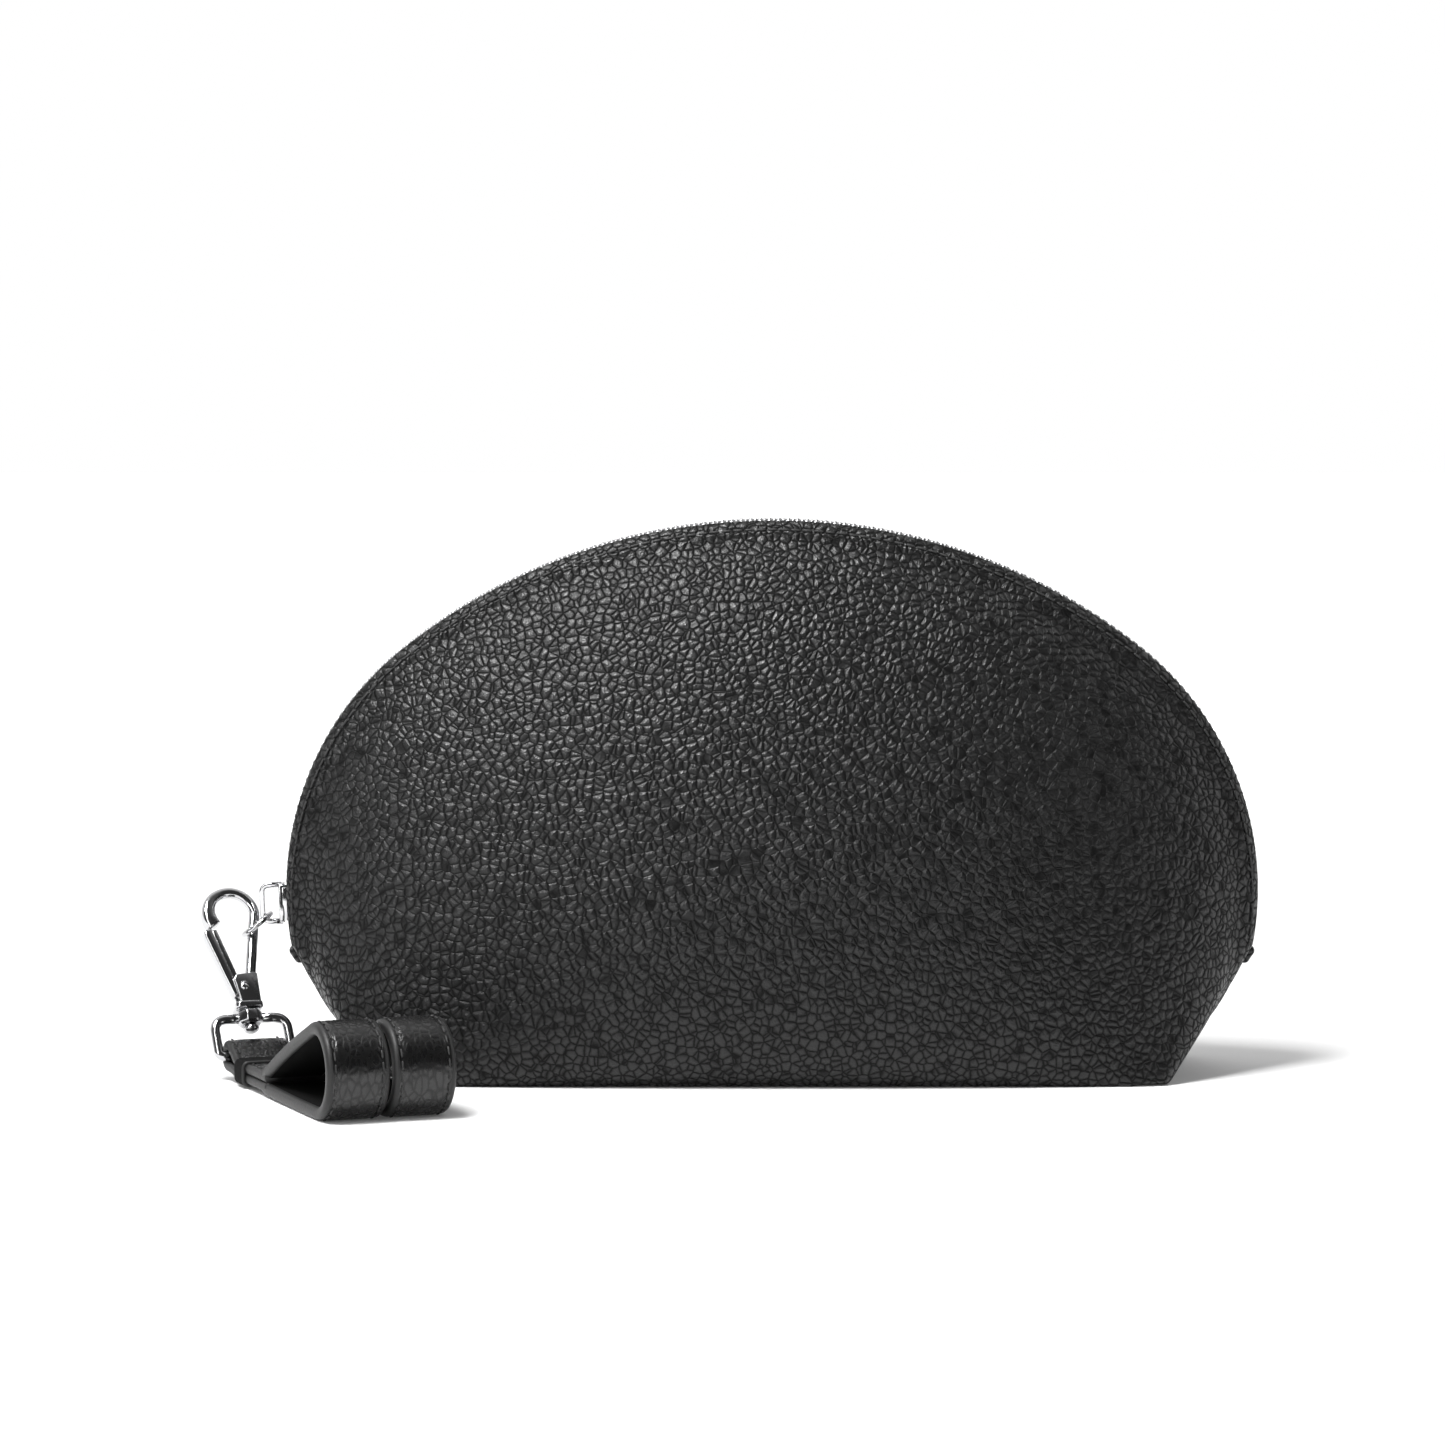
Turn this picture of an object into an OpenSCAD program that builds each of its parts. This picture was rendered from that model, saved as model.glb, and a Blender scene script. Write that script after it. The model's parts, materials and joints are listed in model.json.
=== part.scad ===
// Half-moon leather zip pouch with a clip-on wrist loop.
// The pouch stands on its base with its front towards -Y, and the zip's arch lies in the plane Y = 0.

/* [Pouch] */
// Width across the zip at its widest
purse_w = 220; // [190:1:270]
// Height from the base to the top of the zip
purse_h = 125; // [112:1:150]
// Width of the flat base
base_w = 177; // [150:1:200]
// Depth of the flat base, front to back
base_d = 60; // [48:1:74]
// Height of the zip's two ends above the base
corner_h = 29; // [24:1:35]
// How far the middle of a panel swells beyond a straight one
belly = 16.2; // [10:0.2:20]
// Thickness of the panel leather
leather_t = 1.5; // [1.1:0.1:1.8]
// Thickness of the lining
lining_t = 0.5; // [0.3:0.1:0.8]
// Thickness of the board in the base
board_t = 1.4; // [1:0.1:2]

/* [Zip] */
// Distance between neighbouring teeth of one row
tooth_pitch = 2.1; // [1.9:0.05:2.6]
// Thickness of a tooth, square to the tape
tooth_h = 2.4; // [2:0.1:2.9]
// Length of a tooth along the zip
tooth_l = 1.15; // [0.9:0.05:1.4]
// Thickness of the woven tape
tape_t = 0.5; // [0.3:0.1:0.7]
// Half the gap between the two leather edges
mouth_half = 5.3; // [5.3:0.1:6.4]
// Length of the slider
slider_l = 9; // [7.5:0.1:10.8]
// Thickness of each slider plate
plate_t = 1.2; // [0.9:0.1:1.5]

/* [Clip] */
// Diameter of the D-ring's wire
ring_wire = 2.3; // [1.9:0.1:2.8]
// Clear width inside the D-ring
ring_in = 14.6; // [13.5:0.1:18]
// Diameter of the hook's wire
hook_wire = 2.4; // [2:0.1:2.9]
// Radius of the hook's bow at the middle of its wire
bow_r = 5.4; // [4.8:0.1:6.5]
// Height of the bow's centre above the hook's foot
bow_z = 24; // [20:0.5:29]
// Diameter of the gate's pin
pin_d = 1.6; // [1.3:0.1:1.9]
// Diameter of the swivel stud
stud_d = 2.4; // [2:0.1:2.9]
// Radius of the jump ring at the middle of its wire
jump_r = 4; // [3.6:0.1:4.8]
// Diameter of the jump ring's wire
jump_wire = 1.2; // [1:0.1:1.4]

/* [Wrist loop] */
// Width of the strap
strap_w = 14; // [11.5:0.1:14.2]
// Thickness of the strap
strap_t = 2.9; // [2.4:0.1:3.4]
// Distance from the D-ring's bar to where the strap splits into its loops
split_s = 29; // [25:0.5:35]
// Distance from the D-ring's bar to the centre of a loop's round end
loop_s = 64.5; // [54:0.5:78]
// Height of a loop over its round end
loop_h = 21; // [17.5:0.5:25]
// Width of the keeper
keeper_w = 6.5; // [5.4:0.1:8]

/* [Hidden] */
$fn = 64;
black = "#1c1c1e";
steel = "#d6d6da";
cloth = "#2b2b2f";

// Clearances: parts that slide, parts of one layer stack, and soft parts on different bodies
slide_gap = 0.35;
layer_gap = 0.12;
soft_gap = 0.4;

// ---- The zip's arch: two side arcs and a flatter top arc, tangent where they meet ----
arch_h = purse_h - tooth_h / 2;
side_share = 0.558;
side_rise = 12;
side_r = side_share * arch_h;
side_x = purse_w / 2 - tooth_h / 2 - side_r;
side_z = corner_h + side_rise;
rise = arch_h - side_r;
top_z = (rise * rise - side_x * side_x - side_z * side_z) / (2 * (rise - side_z));
top_r = arch_h - top_z;
meet_a = atan2(side_z - top_z, side_x);
end_a = -asin((side_z - corner_h) / side_r);
side_len = side_r * (meet_a - end_a) * PI / 180;
top_len = top_r * (180 - 2 * meet_a) * PI / 180;
zip_len = 2 * side_len + top_len;

// Angle of the arch's outward direction, and its point, at distance s from the left end
function arch_angle(s) =
    s < side_len ? 180 - end_a - s / side_r * 180 / PI
    : s < side_len + top_len ? 180 - meet_a - (s - side_len) / top_r * 180 / PI
    : meet_a - (s - side_len - top_len) / side_r * 180 / PI;
function arch_point(s, out = 0) =
    let (a = arch_angle(s))
    s < side_len ? [-side_x + (side_r + out) * cos(a), side_z + (side_r + out) * sin(a)]
    : s < side_len + top_len ? [(top_r + out) * cos(a), top_z + (top_r + out) * sin(a)]
    : [side_x + (side_r + out) * cos(a), side_z + (side_r + out) * sin(a)];

// Sweeps a section along the arch: the section's x points out of the arch, its y to the front.
// The top arc runs a hair past its ends, so that the three arcs weld into one.
weld_a = 0.01;
module along_arch() {
    for (arc = [[-side_x, side_z, side_r, 180 - meet_a, meet_a - end_a],
                [0, top_z, top_r, meet_a - weld_a, 180 - 2 * (meet_a - weld_a)],
                [side_x, side_z, side_r, end_a, meet_a - end_a]])
        translate([arc[0], 0, arc[1]])
            rotate([90, 0, 0])
                rotate_extrude(start = arc[3], angle = arc[4], $fn = 120)
                    translate([arc[2], 0])
                        children();
}

// ---- The soft panels: a surface from the base's edge (v = 0) to the zip (v = 1) ----
leather_out = 0.3;
swell_low = 0.6;
swell_high = 0.75;
swell_ends = 2.4;
swell_at = swell_low / (swell_low + swell_high);
swell_peak = pow(swell_at, swell_low) * pow(1 - swell_at, swell_high);
function swell(v) = belly * pow(v, swell_low) * pow(1 - v, swell_high) / swell_peak;
function half_depth(u, v) =
    base_d / 2 * (1 - v) + mouth_half * v + swell(v) * (1 - pow(abs(u), swell_ends));
function panel_point(side, u, v) =
    let (foot = [u * base_w / 2, 0],
         top = arch_point((u + 1) / 2 * zip_len, leather_out),
         p = foot * (1 - v) + top * v)
    [p[0], side * half_depth(u, v), p[1]];
slope_step = 0.004;
function panel_normal(side, u, v) =
    let (e = slope_step, a = max(-1, u - e), b = min(1, u + e),
         c = max(e / 4, v - e), d = min(1, v + e),
         n = cross(panel_point(side, b, v) - panel_point(side, a, v),
                   panel_point(side, u, d) - panel_point(side, u, c)))
    n / norm(n);

// The share v at which a panel is at height z
function share_at(u, z) = z / arch_point((u + 1) / 2 * zip_len, leather_out)[1];

// A point below the outer face; close to the lower edge it doesn't go down, towards the base
level_v = 0.12;
function inset_point(side, u, v, low, depth) =
    let (n = side * panel_normal(side, u, v),
         ease = n[2] < 0 ? min(1, (v - low) / level_v) : 1,
         m = [n[0], n[1], ease * n[2]])
    panel_point(side, u, v) + depth * m / norm(m);

// A closed sheet between two depths below the panel's outer face, from height z0 up to share v1
module panel_sheet(side, u_max, z0, v1, d0, d1, nu = 36, nv = 14) {
    us = [for (i = [0:nu]) u_max * sin(90 * (2 * i / nu - 1))];
    rows = [for (j = [0:nv]) (1 - cos(180 * j / nv)) / 2];
    cols = nu + 1;
    layer = cols * (nv + 1);
    points = [for (d = [d0, d1], f = rows, u = us)
        let (low = share_at(u, z0))
        inset_point(side, u, low + (v1 - low) * f, low, d)];
    function quad(a, b, c, d) = side > 0 ? [[a, b, c], [a, c, d]] : [[a, c, b], [a, d, c]];
    faces = [
        for (j = [0:nv - 1], i = [0:nu - 1])
            let (a = j * cols + i)
            each [each quad(a, a + 1, a + cols + 1, a + cols),
                  each quad(layer + a, layer + a + cols, layer + a + cols + 1, layer + a + 1)],
        for (i = [0:nu - 1])
            let (a = i, b = nv * cols + i)
            each [each quad(a, layer + a, layer + a + 1, a + 1),
                  each quad(b, b + 1, layer + b + 1, layer + b)],
        for (j = [0:nv - 1])
            let (a = j * cols, b = j * cols + nu)
            each [each quad(a, a + cols, layer + a + cols, layer + a),
                  each quad(b, layer + b, layer + b + cols, b + cols)]];
    polyhedron(points, faces);
}

// ---- Pouch ----
fold_r = leather_t / 2;
hinge_y = -base_d / 2 + fold_r;
panel_low = leather_t + soft_gap;
panel_end = 0.985;
lining_in = leather_t + tape_t + 2 * layer_gap;

module front_panel() {
    color(black) panel_sheet(-1, panel_end, panel_low, 1, 0, leather_t);
}

module back_panel() {
    color(black) panel_sheet(1, panel_end, panel_low, 1, 0, leather_t);
}

// The base, with its front and back edges turned over into round folds
module base_leather() {
    color(black) {
        translate([-base_w / 2, hinge_y, 0])
            cube([base_w, -2 * hinge_y, leather_t]);
        for (y = [hinge_y, -hinge_y])
            translate([-base_w / 2, y, fold_r])
                rotate([0, 90, 0])
                    cylinder(r = fold_r, h = base_w);
    }
}

// Boxed end of the pouch: a tapering piece that leans out from the base to the zip's end,
// and stops short of the folded tab that covers it
tab_l = 4;
end_x = side_x + side_r * cos(end_a);
gusset_run = end_x - base_w / 2;
gusset_len = norm([gusset_run, corner_h]);
gusset_top = 2.8;
gusset_lift = 0.3;
gusset_margin = 1.75;
module gusset(side) {
    // A deeper base slants the panels' ends more, and the foot stays clear of their inner face
    slant = norm([gusset_len, base_d / 2 - mouth_half]) / gusset_len;
    foot = base_d / 2 - gusset_margin * leather_t * slant;
    top = gusset_len - tab_l + 0.5;
    color(black)
        translate([side * base_w / 2, 0, leather_t + layer_gap])
            rotate([90, 0, side * 90])
                rotate([-atan(gusset_run / corner_h), 0, 0])
                    linear_extrude(leather_t)
                        polygon([[-foot, gusset_lift], [foot, gusset_lift],
                                 [gusset_top, top], [-gusset_top, top]]);
}

module left_gusset() {
    gusset(-1);
}

module right_gusset() {
    gusset(1);
}

module base_sheet(z, t, margin) {
    translate([0, 0, z + t / 2])
        cube([base_w - 2 * margin, base_d - 2 * margin, t], center = true);
}

sheet_margin = 5;
module base_board() {
    color(cloth) base_sheet(leather_t + layer_gap, board_t, sheet_margin);
}

module base_lining() {
    color(cloth) base_sheet(leather_t + board_t + 2 * layer_gap, lining_t, sheet_margin);
}

lining_low = leather_t + board_t + lining_t + 1;
lining_end = 0.93;
lining_top = 0.955;
module front_lining() {
    color(cloth) panel_sheet(-1, lining_end, lining_low, lining_top, lining_in, lining_in + lining_t, 30, 12);
}

module back_lining() {
    color(cloth) panel_sheet(1, lining_end, lining_low, lining_top, lining_in, lining_in + lining_t, 30, 12);
}

// ---- Zip ----
post_half = 0.4;
tooth_y0 = post_half + 0.15;
tooth_y1 = 2.4;
tape_y1 = 4.1;

module tape(side) {
    color(cloth)
        along_arch()
            translate([-tape_t / 2, side < 0 ? tooth_y1 : -tape_y1])
                square([tape_t, tape_y1 - tooth_y1]);
}

module front_tape() {
    tape(-1);
}

module back_tape() {
    tape(1);
}

// One row of teeth, which ends short of the stops
stop_l = 1.5;
stop_s = 1.4;
module teeth(side, shift) {
    count = floor((zip_len - 4 * stop_s - 2.4) / tooth_pitch);
    first = (zip_len - (count - 1) * tooth_pitch) / 2;
    color(steel)
        for (i = [0:count - 1]) {
            s = first + (i + shift) * tooth_pitch;
            p = arch_point(s);
            translate([p[0], side * (tooth_y0 + tooth_y1) / 2, p[1]])
                rotate([0, -arch_angle(s), 0])
                    cube([tooth_h, tooth_y1 - tooth_y0, tooth_l], center = true);
        }
}

module front_teeth() {
    teeth(-1, -0.25);
}

module back_teeth() {
    teeth(1, 0.25);
}

// A metal stop closes each end of the rows
module zip_stops() {
    color(steel)
        for (s = [stop_s, zip_len - stop_s], side = [-1, 1]) {
            p = arch_point(s);
            translate([p[0], side * (tooth_y0 + tooth_y1) / 2, p[1]])
                rotate([0, -arch_angle(s), 0])
                    cube([tooth_h, tooth_y1 - tooth_y0, stop_l], center = true);
        }
}

// A folded leather tab covers each end of the zip
tab_w = 5;
module zip_tab(side) {
    color(black)
        translate([side * end_x, 0, corner_h])
            rotate([0, side * atan(gusset_run / corner_h), 0])
                translate([side * (leather_t + 0.2) / 2, 0, -tab_l / 2 - 0.4])
                    cube([leather_t + 1.4, tab_w, tab_l - 1], center = true);
}

module left_zip_tab() {
    zip_tab(-1);
}

module right_zip_tab() {
    zip_tab(1);
}

// ---- Slider: its own frame has -X out of the arch and +Z along it, away from the left end ----
slider_a = -2.5;
slider_half_w = 3.7;
plate_x = tooth_h / 2 + slide_gap;
bridge_y = 2;
bridge_wall = 1.3;
bridge_x0 = plate_x + plate_t;
bridge_reach = 4.65;
bridge_low = -slider_l / 2 - 0.4;
bridge_high = slider_l / 2 + 0.2;

module at_slider() {
    translate([-side_x, 0, side_z])
        rotate([0, slider_a, 0])
            translate([-side_r, 0, 0])
                children();
}

module slider_body() {
    rim_in = tooth_y1 + slide_gap;
    slot = tape_t / 2 + slide_gap;
    color(steel)
        at_slider() {
            for (side = [-1, 1]) {
                translate([side * (plate_x + plate_t / 2), 0, 0])
                    cube([plate_t, 2 * slider_half_w, slider_l], center = true);
                for (y = [-1, 1])
                    translate([side * (slot + plate_x + 0.2) / 2, y * (rim_in + slider_half_w) / 2, 0])
                        cube([plate_x + 0.2 - slot, slider_half_w - rim_in, slider_l], center = true);
            }
            translate([0, 0, -slider_l / 2 + 1.6])
                cube([2 * plate_x + 0.4, 2 * post_half, 2.2], center = true);
        }
}

module rounded(x0, x1, y0, y1, r) {
    translate([x0 + r, y0])
        square([x1 - x0 - 2 * r, y1 - y0]);
    translate([x0, y0 + r])
        square([x1 - x0, y1 - y0 - 2 * r]);
    for (x = [x0 + r, x1 - r], y = [y0 + r, y1 - r])
        translate([x, y])
            circle(r = r);
}

// The bail on the slider's outer plate, which the jump ring passes through
module slider_bridge() {
    x0 = -bridge_x0 - bridge_reach;
    color(steel)
        at_slider()
            rotate([90, 0, 0])
                translate([0, 0, -bridge_y / 2])
                    linear_extrude(bridge_y)
                        difference() {
                            rounded(x0, -bridge_x0 + 2, bridge_low, bridge_high, 2.6);
                            rounded(x0 + bridge_wall, -bridge_x0 + 1, bridge_low + bridge_wall,
                                    bridge_high - bridge_wall, 1.6);
                            translate([-bridge_x0, bridge_low - 1])
                                square([4, bridge_high - bridge_low + 2]);
                        }
}

// ---- Jump ring: its wire lies in the bridge's lower outer corner ----
function turn_y(p, a) = [p[0] * cos(a) + p[2] * sin(a), p[1], -p[0] * sin(a) + p[2] * cos(a)];
wire_gap = 0.5;
jump_tilt = 39;
jump_hold = [-side_x, 0, side_z] + turn_y([
    -side_r - bridge_x0 - bridge_reach + bridge_wall + jump_wire / 2 + wire_gap, 0,
    bridge_low + bridge_wall + jump_wire / 2 + wire_gap], slider_a);
jump_c = jump_hold - jump_r * [cos(jump_tilt), 0, sin(jump_tilt)];

module jump_ring() {
    color(steel)
        translate(jump_c)
            rotate([0, -jump_tilt, 0])
                rotate_extrude()
                    translate([jump_r, 0])
                        circle(d = jump_wire, $fn = 32);
}

// ---- Hook: its own frame has +Z towards the bow, and the plane of the hook is X-Z ----
// A deeper base leaves less room beside it, so the clip and strap turn away from it
hook_yaw = 22 - 1.2 * (base_d - 60);
hook_lean = 32;
foot_h = 1.6;
foot_out = 0.5;
block_h = 8.4;
block_w = 5.6;
block_y = 4.2;
pin_x = -0.4;
pin_z = 5.4;
wall_y = 0.9;
leg_top_x = bow_r;
leg_foot_x = block_w / 2 - hook_wire / 2;
leg_foot_z = block_h - 1;
leg_grip_z = bow_z - 3.5;
leg_grip_x = leg_foot_x
    + (leg_top_x - leg_foot_x) * (leg_grip_z - leg_foot_z) / (bow_z - leg_foot_z);

hook_x = [cos(hook_yaw), sin(hook_yaw), 0];
hook_z = [-sin(hook_yaw) * sin(hook_lean), cos(hook_yaw) * sin(hook_lean), cos(hook_lean)];
// The hook's wire lies low and to the front in the ring, and takes more room there than its own
// width because it crosses the ring at a slant
wire_slant = 0.96;
grip_low = jump_r - jump_wire / 2 - wire_slant * hook_wire;
grip_front = 0.36 * grip_low;
hook_o = jump_c - [grip_low * cos(jump_tilt), grip_front, grip_low * sin(jump_tilt)]
    - leg_grip_x * hook_x - leg_grip_z * hook_z;

module at_hook() {
    translate(hook_o)
        rotate([0, 0, hook_yaw])
            rotate([-hook_lean, 0, 0])
                children();
}

module rod(a, b, d) {
    v = b - a;
    translate(a)
        rotate([0, atan2(norm([v[0], v[1]]), v[2]), atan2(v[1], v[0])])
            cylinder(d = d, h = norm(v), $fn = 32);
}

nose_a = 205;
module hook_body() {
    color(steel)
        at_hook() {
            translate([0, 0, bow_z])
                rotate([90, 0, 0])
                    rotate_extrude(angle = nose_a)
                        translate([bow_r, 0])
                            circle(d = hook_wire, $fn = 32);
            translate([bow_r, 0, bow_z])
                sphere(d = hook_wire, $fn = 32);
            rod([leg_top_x, 0, bow_z], [leg_foot_x, 0, leg_foot_z], hook_wire);
            difference() {
                translate([-block_w / 2, -block_y / 2, 0])
                    cube([block_w, block_y, block_h]);
                translate([-block_w / 2 - 1, -block_y / 2 + wall_y, foot_h])
                    cube([block_w + 1 - hook_wire * 0.55, block_y - 2 * wall_y, block_h]);
                translate([pin_x, 0, pin_z])
                    rotate([90, 0, 0])
                        cylinder(d = pin_d, h = block_y + 2, center = true);
            }
            translate([-block_w / 2 - foot_out, -block_y / 2 - foot_out, 0])
                cube([block_w + 2 * foot_out, block_y + 2 * foot_out, foot_h]);
        }
}

module gate_pin() {
    color(steel)
        at_hook()
            translate([pin_x, 0, pin_z])
                rotate([90, 0, 0])
                    cylinder(d = pin_d, h = block_y + 0.6, center = true, $fn = 96);
}

// The gate turns on the pin: a hub, an arm up to the nose, and a thumb lever down its outer side
gate_y = block_y - 2 * wall_y - 0.3;
nose_x = -bow_r * cos(nose_a - 180);
nose_z = bow_z - bow_r * sin(nose_a - 180);
hub_d = pin_d + 1.6;
pin_gap = 0.1;
arm_d = 2;
arm_low = [-1.6, 0, pin_z + 1.4];
arm_top = [nose_x - 0.2, 0, nose_z - 1.6];
lever_t = 1.5;
lever_end = 2;
module hook_gate() {
    lean = atan2(arm_top[0] - arm_low[0], arm_top[2] - arm_low[2]);
    color(steel)
        at_hook()
            difference() {
                union() {
                    translate([pin_x, 0, pin_z])
                        rotate([90, 0, 0])
                            cylinder(d = hub_d, h = gate_y, center = true, $fn = 48);
                    rod(arm_low, arm_top, arm_d);
                    // The heel joins the hub, the arm and the lever
                    translate([arm_low[0] - 1.4, -gate_y / 2, arm_low[2] - 2.2])
                        cube([2, gate_y, 3.4]);
                    translate(arm_low)
                        rotate([0, lean, 0])
                            translate([-lever_t - 0.7, -gate_y / 2, -lever_end])
                                cube([lever_t, gate_y, norm(arm_top - arm_low) + lever_end - 0.4]);
                }
                translate([pin_x, 0, pin_z])
                    rotate([90, 0, 0])
                        cylinder(d = pin_d + pin_gap, h = block_y, center = true);
            }
}

// Return spring: a small coil beside the pin, pressing the gate's heel
spring_d = 1.5;
spring_in = 0.7;
module gate_spring() {
    color(steel)
        at_hook()
            translate([pin_x, 0, foot_h + spring_d / 2 + 0.2])
                rotate([90, 0, 0])
                    difference() {
                        cylinder(d = spring_d, h = gate_y - 0.4, center = true, $fn = 32);
                        cylinder(d = spring_in, h = gate_y + 1, center = true, $fn = 24);
                    }
}

// The strap folds round the D-ring's bar, and the keeper round it lies on the ground
fold_in = ring_wire / 2 + 0.2;
fold_out = fold_in + strap_t;
keeper_wall = 1.1;
bar_lift = fold_out + layer_gap + keeper_wall;

// ---- Swivel: the stud hangs from the hook's foot, and the D-ring's collar turns on it ----
collar_h = 3.4;
collar_d = 5.4;
foot_gap = 0.25;
head_h = 1.3;
head_d = stud_d + 1.2;
module swivel_stud() {
    shank = collar_h + 2 * foot_gap;
    color(steel)
        at_hook() {
            translate([0, 0, -shank])
                cylinder(d = stud_d, h = shank);
            translate([0, 0, -shank - head_h])
                cylinder(d1 = stud_d, d2 = head_d, h = head_h);
        }
}

bar_z = (bar_lift - hook_o[2]) / hook_z[2];
side_off = ring_in / 2 + ring_wire / 2;
bend_r = 4.2;
shoulder_z = -foot_gap - collar_h / 2;
shoulder_x = 1.9;
bore_gap = 0.15;

// One side of the D-ring: its shoulder, its bend, its leg and the rounded corner at the bar
module ring_side(side) {
    bend_x = side_off - bend_r;
    bend_z = shoulder_z - bend_r;
    rod([side * shoulder_x, 0, shoulder_z], [side * bend_x, 0, shoulder_z], ring_wire);
    translate([side * bend_x, 0, bend_z])
        rotate([90, 0, 0])
            rotate_extrude(start = side > 0 ? 0 : 90, angle = 90)
                translate([bend_r, 0])
                    circle(d = ring_wire, $fn = 32);
    rod([side * side_off, 0, bend_z], [side * side_off, 0, bar_z], ring_wire);
    translate([side * side_off, 0, bar_z])
        sphere(d = ring_wire, $fn = 32);
}

module d_ring() {
    color(steel)
        at_hook()
            difference() {
                union() {
                    translate([0, 0, -foot_gap - collar_h])
                        cylinder(d = collar_d, h = collar_h);
                    ring_side(-1);
                    ring_side(1);
                    rod([-side_off, 0, bar_z], [side_off, 0, bar_z], ring_wire);
                }
                translate([0, 0, -foot_gap - collar_h - 1])
                    cylinder(d = stud_d + bore_gap, h = collar_h + 2);
            }
}

// ---- Wrist loop: its own frame has -Y along the strap, and the D-ring's bar at its origin ----
bar_c = hook_o + bar_z * hook_z;

module at_strap() {
    translate(bar_c)
        rotate([0, 0, hook_yaw])
            children();
}

// Draws a shape given as (distance along the strap, height) across the strap's width
module across_strap(x0, w) {
    translate([x0, 0, 0])
        rotate([90, 0, 90])
            mirror([1, 0, 0])
                linear_extrude(w)
                    children();
}

// The strap folds round the bar, then its two plies lie together and widen towards the loops
widen_s = 17.5;
far_x = strap_w / 2 + 0.8;
module strap_tab() {
    color(black)
        at_strap() {
            across_strap(-strap_w / 2, strap_w)
                difference() {
                    circle(r = fold_out);
                    circle(r = fold_in);
                    translate([0, -fold_out - 1])
                        square([fold_out + 1, 2 * fold_out + 2]);
                }
            for (z = [fold_in, -fold_out])
                translate([0, 0, z])
                    linear_extrude(strap_t)
                        polygon([[-strap_w / 2, 0.01], [strap_w / 2, 0.01], [strap_w / 2, -7.5],
                                 [strap_w / 2, -widen_s], [far_x + strap_w, -split_s + 2],
                                 [far_x + strap_w, -split_s], [-strap_w / 2, -split_s]]);
        }
}

// A loop seen along the strap's width: a teardrop whose round end lies on the ground
module teardrop(split, reach) {
    r = loop_h / 2;
    difference() {
        hull() {
            translate([reach, r - bar_lift])
                circle(r = r, $fn = 64);
            translate([split + 0.1, -fold_out])
                square([0.1, 2 * fold_out]);
        }
        hull() {
            translate([reach, r - bar_lift])
                circle(r = r - strap_t, $fn = 64);
            translate([split + 0.1, -fold_in])
                square([0.1, 2 * fold_in]);
        }
        translate([split - 1, -fold_in])
            square([1.4, 2 * fold_in]);
    }
}

module near_loop() {
    color(black)
        at_strap()
            across_strap(-strap_w / 2, strap_w)
                teardrop(split_s, loop_s);
}

module far_loop() {
    color(black)
        at_strap()
            across_strap(far_x, strap_w)
                teardrop(split_s, loop_s);
}

// The keeper wraps both plies beside the D-ring
keeper_s = 8.5;
module strap_keeper() {
    half_w = strap_w / 2 + layer_gap;
    half_h = fold_out + layer_gap;
    color(black)
        at_strap()
            translate([0, -keeper_s - keeper_w / 2, 0])
                difference() {
                    cube([2 * (half_w + keeper_wall), keeper_w, 2 * (half_h + keeper_wall)], center = true);
                    cube([2 * half_w, keeper_w + 1, 2 * half_h], center = true);
                }
}

front_panel();
back_panel();
base_leather();
left_gusset();
right_gusset();
base_board();
front_lining();
back_lining();
base_lining();
front_tape();
back_tape();
front_teeth();
back_teeth();
left_zip_tab();
right_zip_tab();
zip_stops();
slider_body();
slider_bridge();
jump_ring();
hook_body();
hook_gate();
gate_pin();
gate_spring();
swivel_stud();
d_ring();
strap_tab();
near_loop();
far_loop();
strap_keeper();
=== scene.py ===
# %% [markdown]
# # A half-moon leather pouch with a clip-on wrist loop
# The CAD frame holds every size, joint and metal part. This script adds what CAD leaves plain:
# pebbled leather with a rolled edge, a metal zip, stitching, a polished clip and a painted strap.

# %% Load the frame
import json
import math
import bpy
import bmesh
import numpy as np
from mathutils import Matrix, Vector


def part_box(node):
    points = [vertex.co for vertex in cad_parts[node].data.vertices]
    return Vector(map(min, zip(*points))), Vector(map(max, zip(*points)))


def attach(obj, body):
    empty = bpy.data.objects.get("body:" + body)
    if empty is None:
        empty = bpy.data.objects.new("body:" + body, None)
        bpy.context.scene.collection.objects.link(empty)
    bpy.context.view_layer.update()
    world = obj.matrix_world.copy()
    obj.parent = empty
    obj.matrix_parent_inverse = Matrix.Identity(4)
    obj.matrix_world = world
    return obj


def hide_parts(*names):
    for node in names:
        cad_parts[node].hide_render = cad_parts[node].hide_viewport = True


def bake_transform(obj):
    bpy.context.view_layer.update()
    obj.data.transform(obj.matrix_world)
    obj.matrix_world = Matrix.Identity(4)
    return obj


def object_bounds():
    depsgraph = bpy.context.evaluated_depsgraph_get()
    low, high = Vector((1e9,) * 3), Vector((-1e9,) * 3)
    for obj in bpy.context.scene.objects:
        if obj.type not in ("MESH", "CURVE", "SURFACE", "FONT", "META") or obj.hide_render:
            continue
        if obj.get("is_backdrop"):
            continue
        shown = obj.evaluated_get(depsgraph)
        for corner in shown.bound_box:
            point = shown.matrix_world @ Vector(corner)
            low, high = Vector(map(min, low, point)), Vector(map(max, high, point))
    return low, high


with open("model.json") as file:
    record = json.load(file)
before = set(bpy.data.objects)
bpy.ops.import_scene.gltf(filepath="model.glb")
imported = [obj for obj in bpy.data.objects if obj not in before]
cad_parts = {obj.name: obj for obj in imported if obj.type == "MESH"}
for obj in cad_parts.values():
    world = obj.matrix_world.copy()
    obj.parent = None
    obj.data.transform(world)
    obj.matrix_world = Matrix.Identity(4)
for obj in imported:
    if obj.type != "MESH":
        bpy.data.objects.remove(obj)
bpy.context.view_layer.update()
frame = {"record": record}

MM = 0.001

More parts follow.
